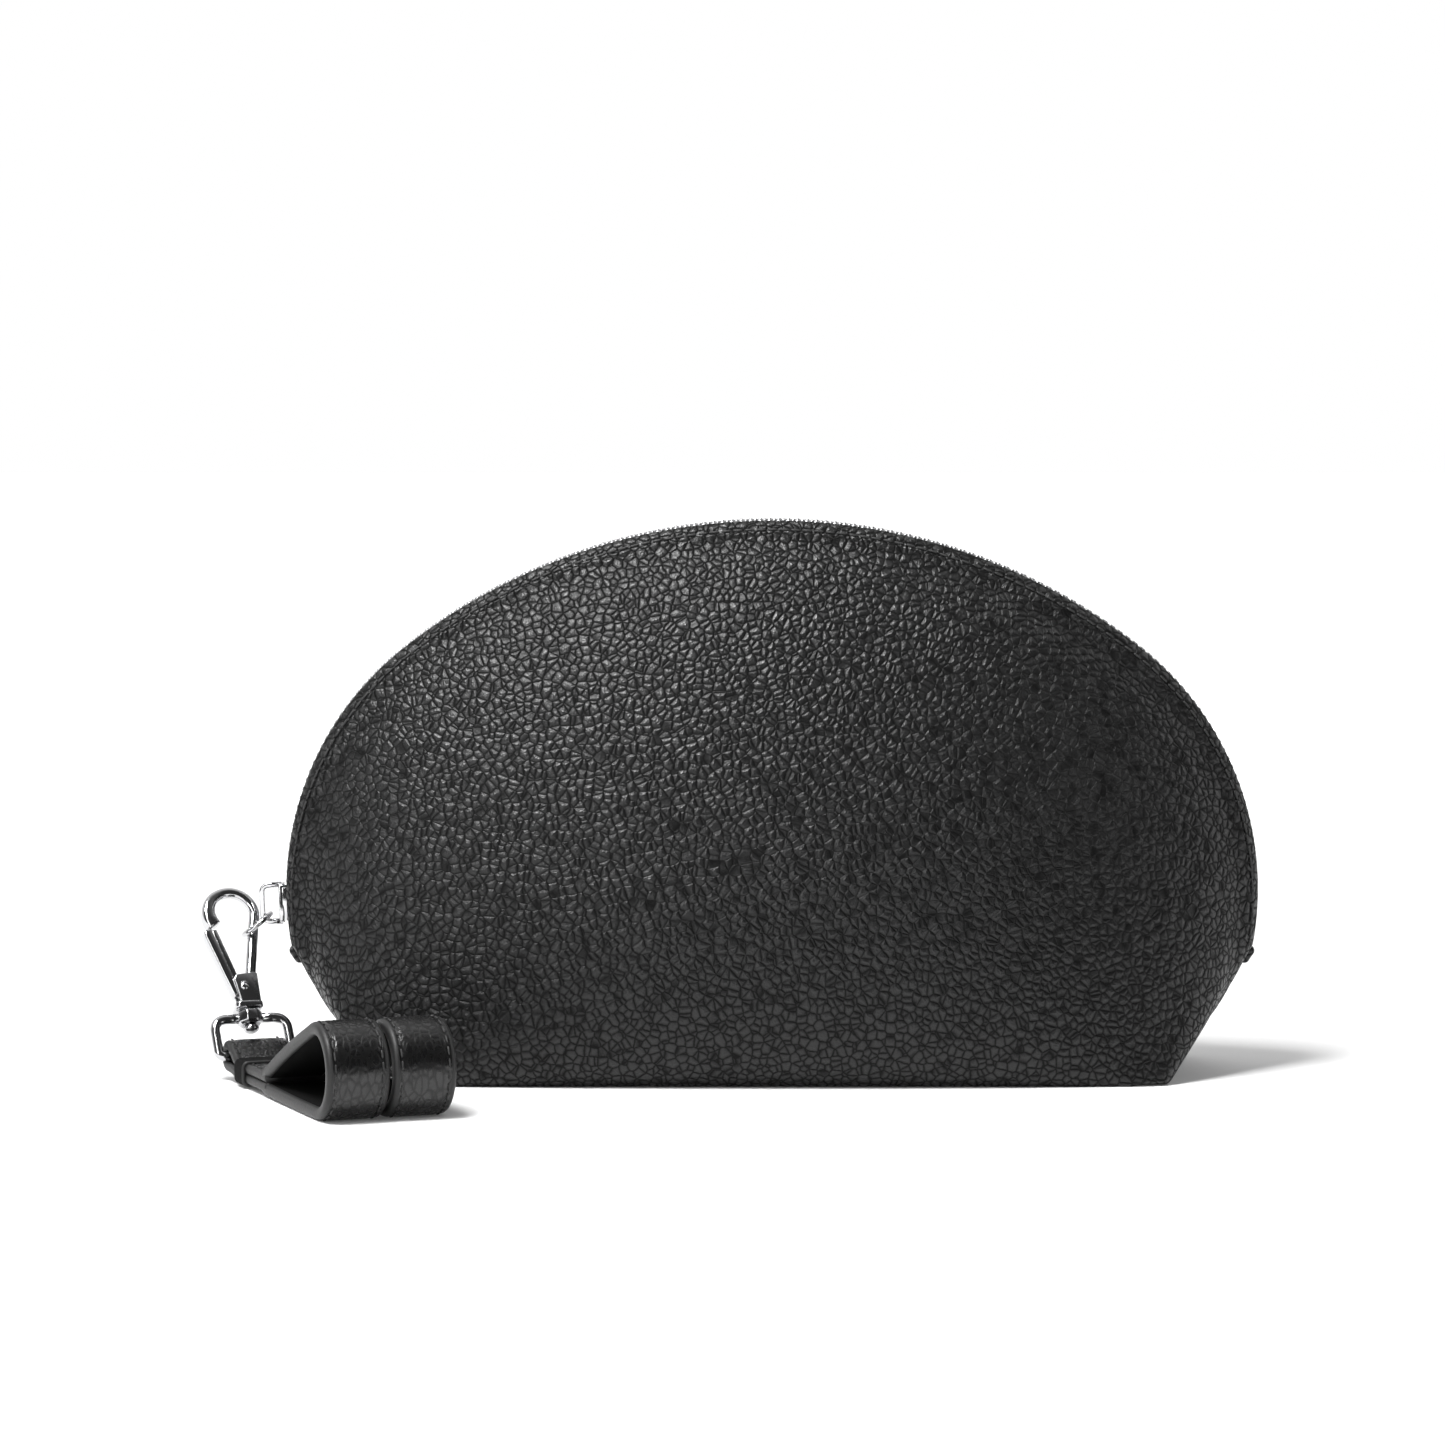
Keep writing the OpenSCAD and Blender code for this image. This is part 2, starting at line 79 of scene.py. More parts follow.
# %% [markdown]
# The places come from the frame. A hinge says where its axis is, so the clip's parts are built in
# frames of their own that start from the joints.

# %% Places and directions taken from the joints
joints = {j["name"]: j for j in frame["record"]["behaviour"]["joints"]}


def joint_point(name):
    return Vector(joints[name]["pos_m"])


def joint_axis(name):
    return Vector(joints[name]["axis"]).normalized()


base_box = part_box("base_leather")
teeth_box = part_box("back_teeth")
PURSE_W = teeth_box[1].x - teeth_box[0].x
PURSE_H = teeth_box[1].z
BASE_W = base_box[1].x - base_box[0].x
BASE_D = base_box[1].y - base_box[0].y
LEATHER = base_box[1].z - base_box[0].z
ARC_CENTRE = joint_point("slider_travel")
SIDE_X = -ARC_CENTRE.x
SIDE_Z = ARC_CENTRE.z
TOOTH_H = 2.4 * MM
CORNER_H = SIDE_Z - 12 * MM
ARCH_H = PURSE_H - TOOTH_H / 2
SIDE_R = PURSE_W / 2 - TOOTH_H / 2 - SIDE_X
print("pouch:", round(PURSE_W / MM, 1), "x", round(BASE_D / MM, 1), "x", round(PURSE_H / MM, 1), "mm")

# %% [markdown]
# The zip follows a three-centred arch, which a pattern cutter draws with a compass: two tight side
# arcs and a flat top arc that touch without a kink. A function of the distance along it gives
# points for the leather's edge, the tape, the teeth and the stitches, so all of them agree.

# %% The arch
RISE = ARCH_H - SIDE_R
TOP_Z = (RISE ** 2 - SIDE_X ** 2 - SIDE_Z ** 2) / (2 * (RISE - SIDE_Z))
TOP_R = ARCH_H - TOP_Z
MEET_A = math.atan2(SIDE_Z - TOP_Z, SIDE_X)
END_A = -math.asin((SIDE_Z - CORNER_H) / SIDE_R)
SIDE_LEN = SIDE_R * (MEET_A - END_A)
TOP_LEN = TOP_R * (math.pi - 2 * MEET_A)
ZIP_LEN = 2 * SIDE_LEN + TOP_LEN


def arch(s, out=0.0):
    """x, z and outward angle at distances s from the left end, moved out of the arch by out."""
    s = np.asarray(s, float)
    left = s < SIDE_LEN
    right = s >= SIDE_LEN + TOP_LEN
    angle = np.where(left, math.pi - END_A - s / SIDE_R, math.pi - MEET_A - (s - SIDE_LEN) / TOP_R)
    angle = np.where(right, MEET_A - (s - SIDE_LEN - TOP_LEN) / SIDE_R, angle)
    radius = np.where(left | right, SIDE_R, TOP_R) + out
    centre_x = np.where(left, -SIDE_X, np.where(right, SIDE_X, 0))
    centre_z = np.where(left | right, SIDE_Z, TOP_Z)
    return centre_x + radius * np.cos(angle), centre_z + radius * np.sin(angle), angle


print("zip length:", round(ZIP_LEN / MM, 1), "mm")

# %% [markdown]
# Shader maths reads best as plain expressions. This small class wraps a socket, so that
# `1 - mask` or `grain * 0.3` adds the Math node by itself, and one method makes any other node.

# %% Expressions for shaders


class Wire:
    """A value in a node tree: a socket with the operators that the materials use."""

    def __init__(self, tree, socket):
        self.tree = tree
        self.socket = socket

    def maths(self, operation, *values, clamp=False):
        settings = {"operation": operation, "use_clamp": clamp}
        return node(self.tree, "ShaderNodeMath", settings, dict(enumerate(values))).out()

    def __add__(self, other):
        return self.maths("ADD", self, other)

    def __sub__(self, other):
        return self.maths("SUBTRACT", self, other)

    def __mul__(self, other):
        return self.maths("MULTIPLY", self, other)

    def __truediv__(self, other):
        return self.maths("DIVIDE", self, other)

    def __pow__(self, other):
        return self.maths("POWER", self, other)

    def __rsub__(self, other):
        return self.maths("SUBTRACT", other, self)

    __radd__ = __add__
    __rmul__ = __mul__

    def clamped(self):
        return self.maths("ADD", self, 0.0, clamp=True)

    def between(self, low, high):
        """0 below low, 1 above high, and smooth between."""
        settings = {"interpolation_type": "SMOOTHSTEP"}
        limits = {"Value": self, "From Min": low, "From Max": high}
        return node(self.tree, "ShaderNodeMapRange", settings, limits).out("Result")


class Made:
    """A node that was just added."""

    def __init__(self, tree, made):
        self.tree = tree
        self.node = made

    def out(self, name=0):
        return Wire(self.tree, self.node.outputs[name])


def node(tree, kind, settings=None, inputs=None):
    """Adds a node, sets its settings first, then fills its sockets with values or links."""
    made = tree.nodes.new(kind)
    for key, value in (settings or {}).items():
        setattr(made, key, value)
    for key, value in (inputs or {}).items():
        if isinstance(value, Wire):
            tree.links.new(value.socket, made.inputs[key])
        else:
            made.inputs[key].default_value = value
    return Made(tree, made)


def blend_colours(tree, factor, first, second):
    made = node(tree, "ShaderNodeMix", {"data_type": "RGBA"})
    sockets = {i.identifier: i for i in made.node.inputs}
    for name, value in (("Factor_Float", factor), ("A_Color", first), ("B_Color", second)):
        if isinstance(value, Wire):
            tree.links.new(value.socket, sockets[name])
        else:
            sockets[name].default_value = value
    return Wire(tree, [o for o in made.node.outputs if o.identifier == "Result_Color"][0])


def grey(level, tint=0.0):
    return (level, level, level * (1 + tint), 1)


def new_material(name, **fixed):
    """A material with one Principled shader, whose fixed values are set on its own sockets."""
    made = bpy.data.materials.new(name)
    made.use_nodes = True
    shader = made.node_tree.nodes["Principled BSDF"]
    for key, value in fixed.items():
        shader.inputs[key.replace("_", " ")].default_value = value
    return made, made.node_tree, shader


def feed(tree, shader, **wires):
    for key, wire in wires.items():
        tree.links.new(wire.socket, shader.inputs[key.replace("_", " ")])


def bumped(tree, height, distance, strength=1.0, normal=None):
    inputs = {"Height": height, "Distance": distance, "Strength": strength}
    if normal is not None:
        inputs["Normal"] = normal
    return node(tree, "ShaderNodeBump", inputs=inputs).out("Normal")


def place(tree):
    return node(tree, "ShaderNodeTexCoord").out("Object")


def noise(tree, at, scale, detail=2.0, roughness=0.5, out="Fac"):
    return node(tree, "ShaderNodeTexNoise", inputs={
        "Vector": at, "Scale": scale, "Detail": detail, "Roughness": roughness}).out(out)


def shifted(tree, at, amount, scale):
    """Coordinates pushed about by noise, so that cells lose their straight sides."""
    push = noise(tree, at, scale, 1.0, out="Color")
    centred = node(tree, "ShaderNodeVectorMath", {"operation": "SUBTRACT"}, {
        0: push, 1: (0.5, 0.5, 0.5)}).out()
    scaled = node(tree, "ShaderNodeVectorMath", {"operation": "SCALE"}, {0: centred, "Scale": amount}).out()
    return node(tree, "ShaderNodeVectorMath", {"operation": "ADD"}, {0: at, 1: scaled}).out()


def cells(tree, at, scale, feature="DISTANCE_TO_EDGE", out="Distance"):
    return node(tree, "ShaderNodeTexVoronoi", {"feature": feature}, {"Vector": at, "Scale": scale}).out(out)


# %% [markdown]
# Pebbled leather is calfskin shrunk in a drum, so its grain draws up into soft pebbles about 2 mm
# across with fine creases between. Voronoi cells give the pebbles: the distance to a cell's edge
# makes the crease, and noise bends the cells so that none of them looks ruled. A second, smaller
# set of creases breaks up the largest pebbles, as hair pores and wrinkles do on the real skin.
# The creases are painted shade: their base colour is darker, and a dead black shader is mixed into them.

# %% Leather finishes


def paint_crease_shade(tree, shader, shine):
    """Painted crease shade: mixes a dead black shader under another; shine 1 shows the other alone."""
    crease_shade = node(tree, "ShaderNodeBsdfPrincipled", inputs={
        "Base Color": (0.004, 0.004, 0.004, 1), "Roughness": 1.0, "Specular IOR Level": 0.0}).node
    mixed = node(tree, "ShaderNodeMixShader", inputs={"Fac": shine}).node
    tree.links.new(crease_shade.outputs[0], mixed.inputs[1])
    tree.links.new(shader.outputs[0], mixed.inputs[2])
    tree.links.new(mixed.outputs[0], tree.nodes["Material Output"].inputs["Surface"])


def pebbled_leather(name, pebble, depth, colour, rough, shine, crease_shade, stretch=(1, 1, 1)):
    """Tumbled grain: polished pebbles of two sizes between fine creases, with painted shade in the creases:
    a darker base colour and a dead black shader mixed in.
    """
    made, tree, shader = new_material(name, Specular_IOR_Level=shine)
    scaled = node(tree, "ShaderNodeMapping", inputs={"Vector": place(tree), "Scale": stretch}).out()
    at = shifted(tree, scaled, pebble * 0.3, 0.6 / pebble)
    dome = (cells(tree, at, 1 / pebble) * 2.3).clamped() ** 0.6
    at_fine = shifted(tree, scaled, pebble * 0.25, 1.6 / pebble)
    fine = (cells(tree, at_fine, 2.4 / pebble) * 2.3).clamped() ** 0.6
    pores = noise(tree, scaled, 7 / pebble, 3.0, 0.6)
    height = dome * (fine * 0.22 + 0.78) + pores * 0.08
    # Painted shade: the creases' base colour is 0.6 of the pebbles'.
    base = blend_colours(tree, dome, grey(colour * 0.6), grey(colour, 0.04))
    feed(tree, shader, Base_Color=base)
    feed(tree, shader, Roughness=rough + 0.12 - dome * 0.12 + pores * 0.08)
    feed(tree, shader, Normal=bumped(tree, height, depth))
    # Painted shade: in the creases a dead black shader is mixed in, up to 0.8 on the body leather and 0.35
    # on the strap.
    paint_crease_shade(tree, shader, 1 - crease_shade * (1 - (dome * 0.95 + fine * 0.15).between(0.1, 0.8)))
    return made


body_leather = pebbled_leather("body_leather", 1.9 * MM, 0.32 * MM, 0.0035, 0.29, 0.48, 0.8)
strap_leather = pebbled_leather("strap_leather", 1.5 * MM, 0.08 * MM, 0.0035, 0.18, 0.6, 0.35, (1, 1, 0.45))
print("leather finishes:", body_leather.name, strap_leather.name)


def edge_paint_finish():
    """Painted strap edge: satin black lacquer with a faint noisy drag in tone, roughness and relief."""
    made, tree, shader = new_material("edge_paint", Specular_IOR_Level=0.35)
    at = place(tree)
    drag = noise(tree, at, 1500, 3.0)
    feed(tree, shader, Base_Color=blend_colours(tree, drag, grey(0.008), grey(0.018)))
    feed(tree, shader, Roughness=drag * 0.2 + 0.38)
    feed(tree, shader, Normal=bumped(tree, drag, 0.05 * MM))
    return made


def fibre_finish(name, dark, light):
    """Dull pressed fibres: the flesh side of the strap, or the board in the base."""
    made, tree, shader = new_material(name, Specular_IOR_Level=0.08)
    fibres = noise(tree, place(tree), 1800, 4.0, 0.7)
    feed(tree, shader, Base_Color=blend_colours(tree, fibres, grey(dark), grey(light)))
    feed(tree, shader, Roughness=fibres * 0.1 + 0.8)
    feed(tree, shader, Normal=bumped(tree, fibres, 0.08 * MM))
    return made


def woven_finish(name, dark, light, pitch):
    """Twill tape or lining: two sets of threads crossed over each other."""
    made, tree, shader = new_material(name, Specular_IOR_Level=0.2)
    at = place(tree)
    warp = node(tree, "ShaderNodeTexWave", {"bands_direction": "X"}, {
        "Vector": at, "Scale": 1 / pitch, "Distortion": 0.6, "Detail": 1.0}).out("Fac")
    weft = node(tree, "ShaderNodeTexWave", {"bands_direction": "Z"}, {
        "Vector": at, "Scale": 1 / pitch, "Distortion": 0.6, "Detail": 1.0}).out("Fac")
    threads = warp * weft + 0.3 * (1 - warp) * (1 - weft)
    feed(tree, shader, Base_Color=blend_colours(tree, threads, grey(dark), grey(light)))
    feed(tree, shader, Roughness=0.95 - threads * 0.15)
    feed(tree, shader, Normal=bumped(tree, threads, 0.06 * MM))
    return made


def thread_finish():
    """Waxed black thread, twisted."""
    made, tree, shader = new_material("thread", Specular_IOR_Level=0.4)
    twist = noise(tree, place(tree), 4200, 2.0)
    feed(tree, shader, Base_Color=blend_colours(tree, twist, grey(0.008), grey(0.03)))
    feed(tree, shader, Roughness=twist * 0.25 + 0.4)
    feed(tree, shader, Normal=bumped(tree, twist, 0.05 * MM))
    return made


edge_paint = edge_paint_finish()
strap_flesh = fibre_finish("strap_flesh", 0.002, 0.006)
base_card = fibre_finish("base_card", 0.12, 0.2)
zip_tape = woven_finish("zip_tape", 0.006, 0.03, 0.9 * MM)
lining_cloth = woven_finish("lining_cloth", 0.012, 0.04, 1.6 * MM)
thread = thread_finish()

# %% [markdown]
# The metal is zinc plated with bright nickel. Its look comes from what it mirrors, so the finish
# only adds a slight waviness from polishing, and hairline scuffs that blur the reflection. The
# teeth's nickel is rougher, and its darker base colour is painted shade that keeps them from
# shining white under the light from above.

# %% Metal finish


def nickel(name, level, rough, scuff):
    made, tree, shader = new_material(name, Metallic=1.0)
    at = place(tree)
    wave = noise(tree, at, 420, 2.0)
    haze = noise(tree, at, 2600, 3.0, 0.7)
    hairs = noise(tree, node(tree, "ShaderNodeMapping", inputs={
        "Vector": at, "Scale": (1, 1, 0.06)}).out(), 9000, 2.0).between(0.55, 0.8)
    feed(tree, shader, Base_Color=blend_colours(tree, haze, grey(level * 0.9, 0.02), grey(level, 0.015)))
    feed(tree, shader, Roughness=haze * scuff + hairs * scuff + rough)
    feed(tree, shader, Normal=bumped(tree, wave + hairs * 0.12, 0.03 * MM))
    return made


bright_nickel = nickel("bright_nickel", 0.55, 0.07, 0.08)
# Painted shade: the teeth's nickel has a darker base colour, 0.42 against 0.55; the rougher polish is the
# real finish.
shaded_tooth_nickel = nickel("shaded_tooth_nickel", 0.42, 0.26, 0.12)
print("metals:", bright_nickel.name, shaded_tooth_nickel.name)

# %% [markdown]
# The body is one skin on the real pouch: front, base, back and the two boxed ends are joined
# edge to edge. It is built the same way here, as grids that share their borders, so one smoothing
# pass can round the ridges and one set of normals runs over all of it. A panel is a ruled surface
# from the base's edge to the arch, swelled out in the middle.

# %% The panel surface
SWELL_PEAK = (4 / 9) ** 0.6 * (5 / 9) ** 0.75
MOUTH_HALF = 5.3 * MM
BELLY = 16.2 * MM
LEATHER_OUT = 0.3 * MM


def panel(side, u, v):
    """Points on the outer face: side -1 is the front, u runs along it, v from base to zip."""
    u, v = np.broadcast_arrays(np.asarray(u, float), np.asarray(v, float))
    top_x, top_z, _ = arch((u + 1) / 2 * ZIP_LEN, LEATHER_OUT)
    swell = BELLY * v ** 0.6 * np.maximum(1 - v, 0) ** 0.75 / SWELL_PEAK
    depth = BASE_D / 2 * (1 - v) + MOUTH_HALF * v + swell * (1 - np.abs(u) ** 2.4)
    return np.stack([u * BASE_W / 2 * (1 - v) + top_x * v, side * depth, top_z * v], -1)


def panel_rows():
    """Values of v: close together by the zip, where the rolled edge and its groove need them."""
    near_zip = 1 - np.linspace(0, 0.055, 26)[1:]
    rest = np.linspace(0, 1, 54) ** 1.35 * near_zip[-1]
    return np.concatenate([rest, near_zip[::-1][1:], [1.0]])


COLUMNS = 221
line = np.linspace(-1, 1, COLUMNS)
us = 0.7 * line + 0.3 * np.sin(line * math.pi / 2)
vs = panel_rows()
print("panel grid:", COLUMNS, "x", len(vs))


# %% [markdown]
# Each grid is a plain array of points, so a patch can be made, welded and smoothed with a few
# lines of numpy. The base is flat with the panels' lower edges as two of its sides, and a boxed
# end runs between the two ridges that rise from the base's corners to the zip's end.

# %% Patches and the welded skin


def grid_faces(rows, columns, first, flip=False):
    corner = first + (np.arange(rows - 1)[:, None] * columns + np.arange(columns - 1)[None, :]).ravel()
    quads = np.stack([corner, corner + 1, corner + columns + 1, corner + columns], 1)
    return quads[:, ::-1] if flip else quads


def weld(points, faces, tolerance=1e-6):
    """Joins points that coincide."""
    key = np.round(points / tolerance).astype(np.int64)
    _, keep, back = np.unique(key, axis=0, return_index=True, return_inverse=True)
    back = back.ravel()
    return points[keep], back[faces]


ends = np.linspace(0, 1, 25)
patches = []
for side in (-1, 1):
    grid = panel(side, us[None, :], vs[:, None])
    patches.append(("front" if side < 0 else "rear", grid, side > 0))
floor_y = np.linspace(-1, 1, 41)
floor = np.zeros((len(floor_y), COLUMNS, 3))
floor[..., 0] = us[None, :] * BASE_W / 2
floor[..., 1] = floor_y[:, None] * BASE_D / 2
patches.append(("rear", floor, True))
for u in (-1, 1):
    front_ridge = panel(-1, u, vs)[:, None, :]
    back_ridge = panel(1, u, vs)[:, None, :]
    boxed = front_ridge * (1 - ends[None, :, None]) + back_ridge * ends[None, :, None]
    bow = 2.2 * MM * np.sin(math.pi * vs[:, None]) * np.sin(math.pi * ends[None, :])
    boxed[..., 0] += u * bow
    patches.append(("rear", boxed, u < 0))

points, faces, owner = [], [], []
for name, grid, flip in patches:
    first = sum(len(p) for p in points)
    rows, columns = grid.shape[:2]
    points.append(grid.reshape(-1, 3))
    quads = grid_faces(rows, columns, first, flip)
    faces.append(quads)
    owner.append(np.full(len(quads), name == "front"))
skin, skin_faces = weld(np.concatenate(points), np.concatenate(faces))
is_front = np.concatenate(owner)
print("skin:", len(skin), "points,", len(skin_faces), "faces")

# %% [markdown]
# Leather can't fold sharply, so the ridges and the base's edges are relaxed: each point near them
# moves towards the mean of its neighbours a few dozen times. Points on the open border along the
# zip stay where they are.

# %% Soft ridges


def neighbours_of(faces):
    pairs = np.concatenate([faces[:, [i, (i + 1) % 4]] for i in range(4)])
    both = np.concatenate([pairs, pairs[:, ::-1]])
    return np.unique(both, axis=0)


def relax(points, faces, weight, rounds):
    links = neighbours_of(faces)
    count = np.bincount(links[:, 0], minlength=len(points))[:, None]
    moved = points.copy()
    for _ in range(rounds):
        total = np.stack([np.bincount(links[:, 0], moved[links[:, 1], axis], len(points))
                          for axis in range(3)], 1)
        moved += weight[:, None] * (total / count - moved) * 0.5
    return moved


def distance_to_line(points, a, b):
    along = np.clip(((points - a) @ (b - a)) / ((b - a) @ (b - a)), 0, 1)[:, None]
    return np.linalg.norm(points - (a + along * (b - a)), axis=1)


near = np.full(len(skin), 1.0)
for side in (-1, 1):
    for u in (-1, 1):
        low, high = panel(side, u, 0.0), panel(side, u, 1.0)
        near = np.minimum(near, distance_to_line(skin, low, high) / (9 * MM))
border_guard = np.clip((np.minimum(np.abs(skin[:, 1]), 1) - MOUTH_HALF) / (4 * MM), 0, 1)
weight = np.clip(1 - near, 0, 1) ** 0.5 * border_guard
skin = relax(skin, skin_faces, weight, 40)
skin[:, 2] = np.maximum(skin[:, 2], 0)


def point_normals(points, faces):
    a, b, c, d = (points[faces[:, k]] for k in range(4))
    diagonal = np.cross(c - a, d - b)
    total = np.stack([sum(np.bincount(faces[:, k], diagonal[:, axis], len(points)) for k in range(4))
                      for axis in range(3)], 1)
    return total / np.maximum(np.linalg.norm(total, axis=1), 1e-12)[:, None]


outward = point_normals(skin, skin_faces)
middle = np.array([0, 0, PURSE_H / 2])
if np.mean(np.einsum("ij,ij->i", outward, skin - middle)) < 0:
    outward = -outward
    skin_faces = skin_faces[:, ::-1]
print("ridges relaxed over", len(skin), "points")

# %% [markdown]
# The leather is turned under along the zip and sewn down, so its edge stands up as a narrow roll.
# The stitches sink a groove 2.6 mm in, and the single layer below the roll dips before the panel
# swells. All three are a height over the distance from the edge. Slow noise adds the slight
# unevenness of a soft pouch that stands on its own.

# %% Rolled edge, stitch groove and slight unevenness


def bump_at(distance, centre, width):
    return np.exp(-((distance - centre) / width) ** 2)


def edge_distance(points):
    """Distance of a point on the skin from the leather's edge at the zip, over the surface."""
    angle_side = np.where(points[:, 0] < 0, -SIDE_X, SIDE_X)
    from_side = np.hypot(points[:, 0] - angle_side, points[:, 2] - SIDE_Z) - SIDE_R
    from_top = np.hypot(points[:, 0], points[:, 2] - TOP_Z) - TOP_R
    steep = np.abs(np.arctan2(points[:, 0], points[:, 2] - TOP_Z)) > math.pi / 2 - MEET_A
    inward = LEATHER_OUT - np.where(steep, from_side, from_top)
    return np.hypot(inward, np.abs(points[:, 1]) - MOUTH_HALF)


def slow_noise(points, scale, seed):
    rng = np.random.default_rng(seed)
    total = np.zeros(len(points))
    for _ in range(14):
        direction = rng.normal(size=3)
        direction /= np.linalg.norm(direction)
        total += np.sin(points @ direction * scale * rng.uniform(0.5, 1.6) + rng.uniform(0, 2 * math.pi))
    return total / 14


def smooth_step(t):
    """0 below 0, 1 above 1, with no kink between."""
    t = np.clip(t, 0, 1)
    return t ** 2 * (3 - 2 * t)


STITCH_IN = 2.6 * MM
EDGE_RELIEF = 14 * MM
away = edge_distance(skin)
turned = 0.55 * MM * (1 - smooth_step((away - 3.0 * MM) / (1.6 * MM)))
groove = -0.32 * MM * bump_at(away, STITCH_IN, 0.55 * MM)
valley = -0.5 * MM * bump_at(away, 6.5 * MM, 2.6 * MM)
upper = np.clip((skin[:, 2] - 4 * MM) / (20 * MM), 0, 1)
uneven = 0.9 * MM * slow_noise(skin, 70, 5) * upper * np.clip(away / (25 * MM), 0, 1)
height = np.where(away < EDGE_RELIEF, turned + groove + valley, 0) * np.clip(skin[:, 2] / CORNER_H, 0, 1)
skin = skin + outward * (height + uneven)[:, None]
skin[:, 2] = np.maximum(skin[:, 2], 0)
outward = point_normals(skin, skin_faces)
print("edge relief:", round(height.min() / MM, 2), "to", round(height.max() / MM, 2), "mm")

# %% [markdown]
# The skin is now split where the mouth bends on the real pouch: the front panel is one piece, and
# the rest rides on the back half. Each half gets its thickness, so that the outer points keep the
# normals of the whole skin and no line shows at the split while the pouch is shut.

# %% Give the skin its thickness


def solid_sheet(name, faces, points, normals, depth_top, depth_low, material, inner_material=None):
    """A closed sheet between two depths below the skin, with the skin's own shading."""
    used, local = np.unique(faces, return_inverse=True)
    local = local.reshape(faces.shape)
    outer = points[used] - normals[used] * depth_top
    inner = points[used] - normals[used] * depth_low
    count = len(used)
    edges = np.concatenate([local[:, [i, (i + 1) % 4]] for i in range(4)])
    lone = {}
    for a, b in edges:
        lone[(a, b)] = True
    rim = np.array([(a, b) for a, b in lone if (b, a) not in lone])
    walls = np.stack([rim[:, 1], rim[:, 0], rim[:, 0] + count, rim[:, 1] + count], 1)
    everything = np.concatenate([local, local[:, ::-1] + count, walls])
    mesh = bpy.data.meshes.new(name)
    mesh.from_pydata(np.concatenate([outer, inner]).tolist(), [], everything.tolist())
    mesh.materials.append(material)
    mesh.materials.append(inner_material or material)
    inside = np.repeat([0, 1, 0], [len(local), len(local), len(walls)])
    mesh.polygons.foreach_set("material_index", inside)
    mesh.polygons.foreach_set("use_smooth", np.ones(len(everything), bool))
    mesh.update()
    loops = np.zeros((len(everything) * 4, 3))
    corner = everything.ravel()
    both = np.concatenate([normals[used], -normals[used]])
    loops[:] = both[corner]
    wall_from = (len(local) * 2) * 4
    flat = np.zeros(len(mesh.polygons) * 3)
    mesh.polygons.foreach_get("normal", flat)
    loops[wall_from:] = np.repeat(flat.reshape(-1, 3)[len(local) * 2:], 4, axis=0)
    mesh.normals_split_custom_set(loops.tolist())
    made = bpy.data.objects.new(name, mesh)
    bpy.context.scene.collection.objects.link(made)
    return made


def opens_with_mouth(piece):
    """Bakes the piece's placement into its mesh; the piece is attached to no body."""
    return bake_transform(piece)


front_leather = solid_sheet("front_leather", skin_faces[is_front], skin, outward, 0, LEATHER, body_leather)
rear_leather = solid_sheet("rear_leather", skin_faces[~is_front], skin, outward, 0, LEATHER, body_leather)
opens_with_mouth(front_leather)
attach(rear_leather, "back_half")
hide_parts("front_panel")
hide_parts("back_panel", "base_leather", "left_gusset", "right_gusset")
for piece in (front_leather, rear_leather):
    print(piece.name, len(piece.data.polygons), "faces")

# %% [markdown]
# Teeth and stitches are one small shape repeated along a path. A Geometry Nodes tree does that
# well: it turns a line of points into a curve, resamples it at the pitch, puts an instance on each
# point and turns it along the curve. The pitch is a named input, so the tree serves every row.
# Realize Instances makes real faces of the copies, and the result is then kept as a plain mesh.

# %% A tree that repeats a shape along a line


def along_line_tree(name, item, pivot, material):
    """Tree: line of points -> curve -> items at a pitch, with their local X along the curve."""
    tree = bpy.data.node_groups.new(name, "GeometryNodeTree")
    face = tree.interface
    face.new_socket("Line", in_out="INPUT", socket_type="NodeSocketGeometry")
    pitch = face.new_socket("Pitch", in_out="INPUT", socket_type="NodeSocketFloat")
    face.new_socket("Row", in_out="OUTPUT", socket_type="NodeSocketGeometry")
    entry = node(tree, "NodeGroupInput")
    curve = node(tree, "GeometryNodeMeshToCurve", inputs={"Mesh": entry.out("Line")})
    spaced = node(tree, "GeometryNodeResampleCurve", {"mode": "LENGTH"}, {
        "Curve": curve.out("Curve"), "Length": entry.out("Pitch")})
    heading = node(tree, "GeometryNodeInputTangent").out("Tangent")
    turned = node(tree, "FunctionNodeAlignRotationToVector", {"axis": "X", "pivot_axis": pivot}, {
        "Vector": heading})
    shape = node(tree, "GeometryNodeObjectInfo", inputs={"Object": item})
    copies = node(tree, "GeometryNodeInstanceOnPoints", inputs={
        "Points": spaced.out("Curve"), "Instance": shape.out("Geometry"),
        "Rotation": turned.out("Rotation")})
    real = node(tree, "GeometryNodeRealizeInstances", inputs={"Geometry": copies.out("Instances")})
    painted = node(tree, "GeometryNodeSetMaterial", inputs={
        "Geometry": real.out("Geometry"), "Material": material})
    leave = node(tree, "NodeGroupOutput")
    tree.links.new(painted.out("Geometry").socket, leave.node.inputs["Row"])
    return tree, pitch.identifier


def mesh_object(name, points, faces, *materials, edges=(), smooth=True):
    mesh = bpy.data.meshes.new(name)
    mesh.from_pydata([tuple(p) for p in points], list(edges), [tuple(f) for f in faces])
    for material in materials:
        mesh.materials.append(material)
    mesh.polygons.foreach_set("use_smooth", np.full(len(mesh.polygons), smooth))
    mesh.update()
    made = bpy.data.objects.new(name, mesh)
    bpy.context.scene.collection.objects.link(made)
    return made


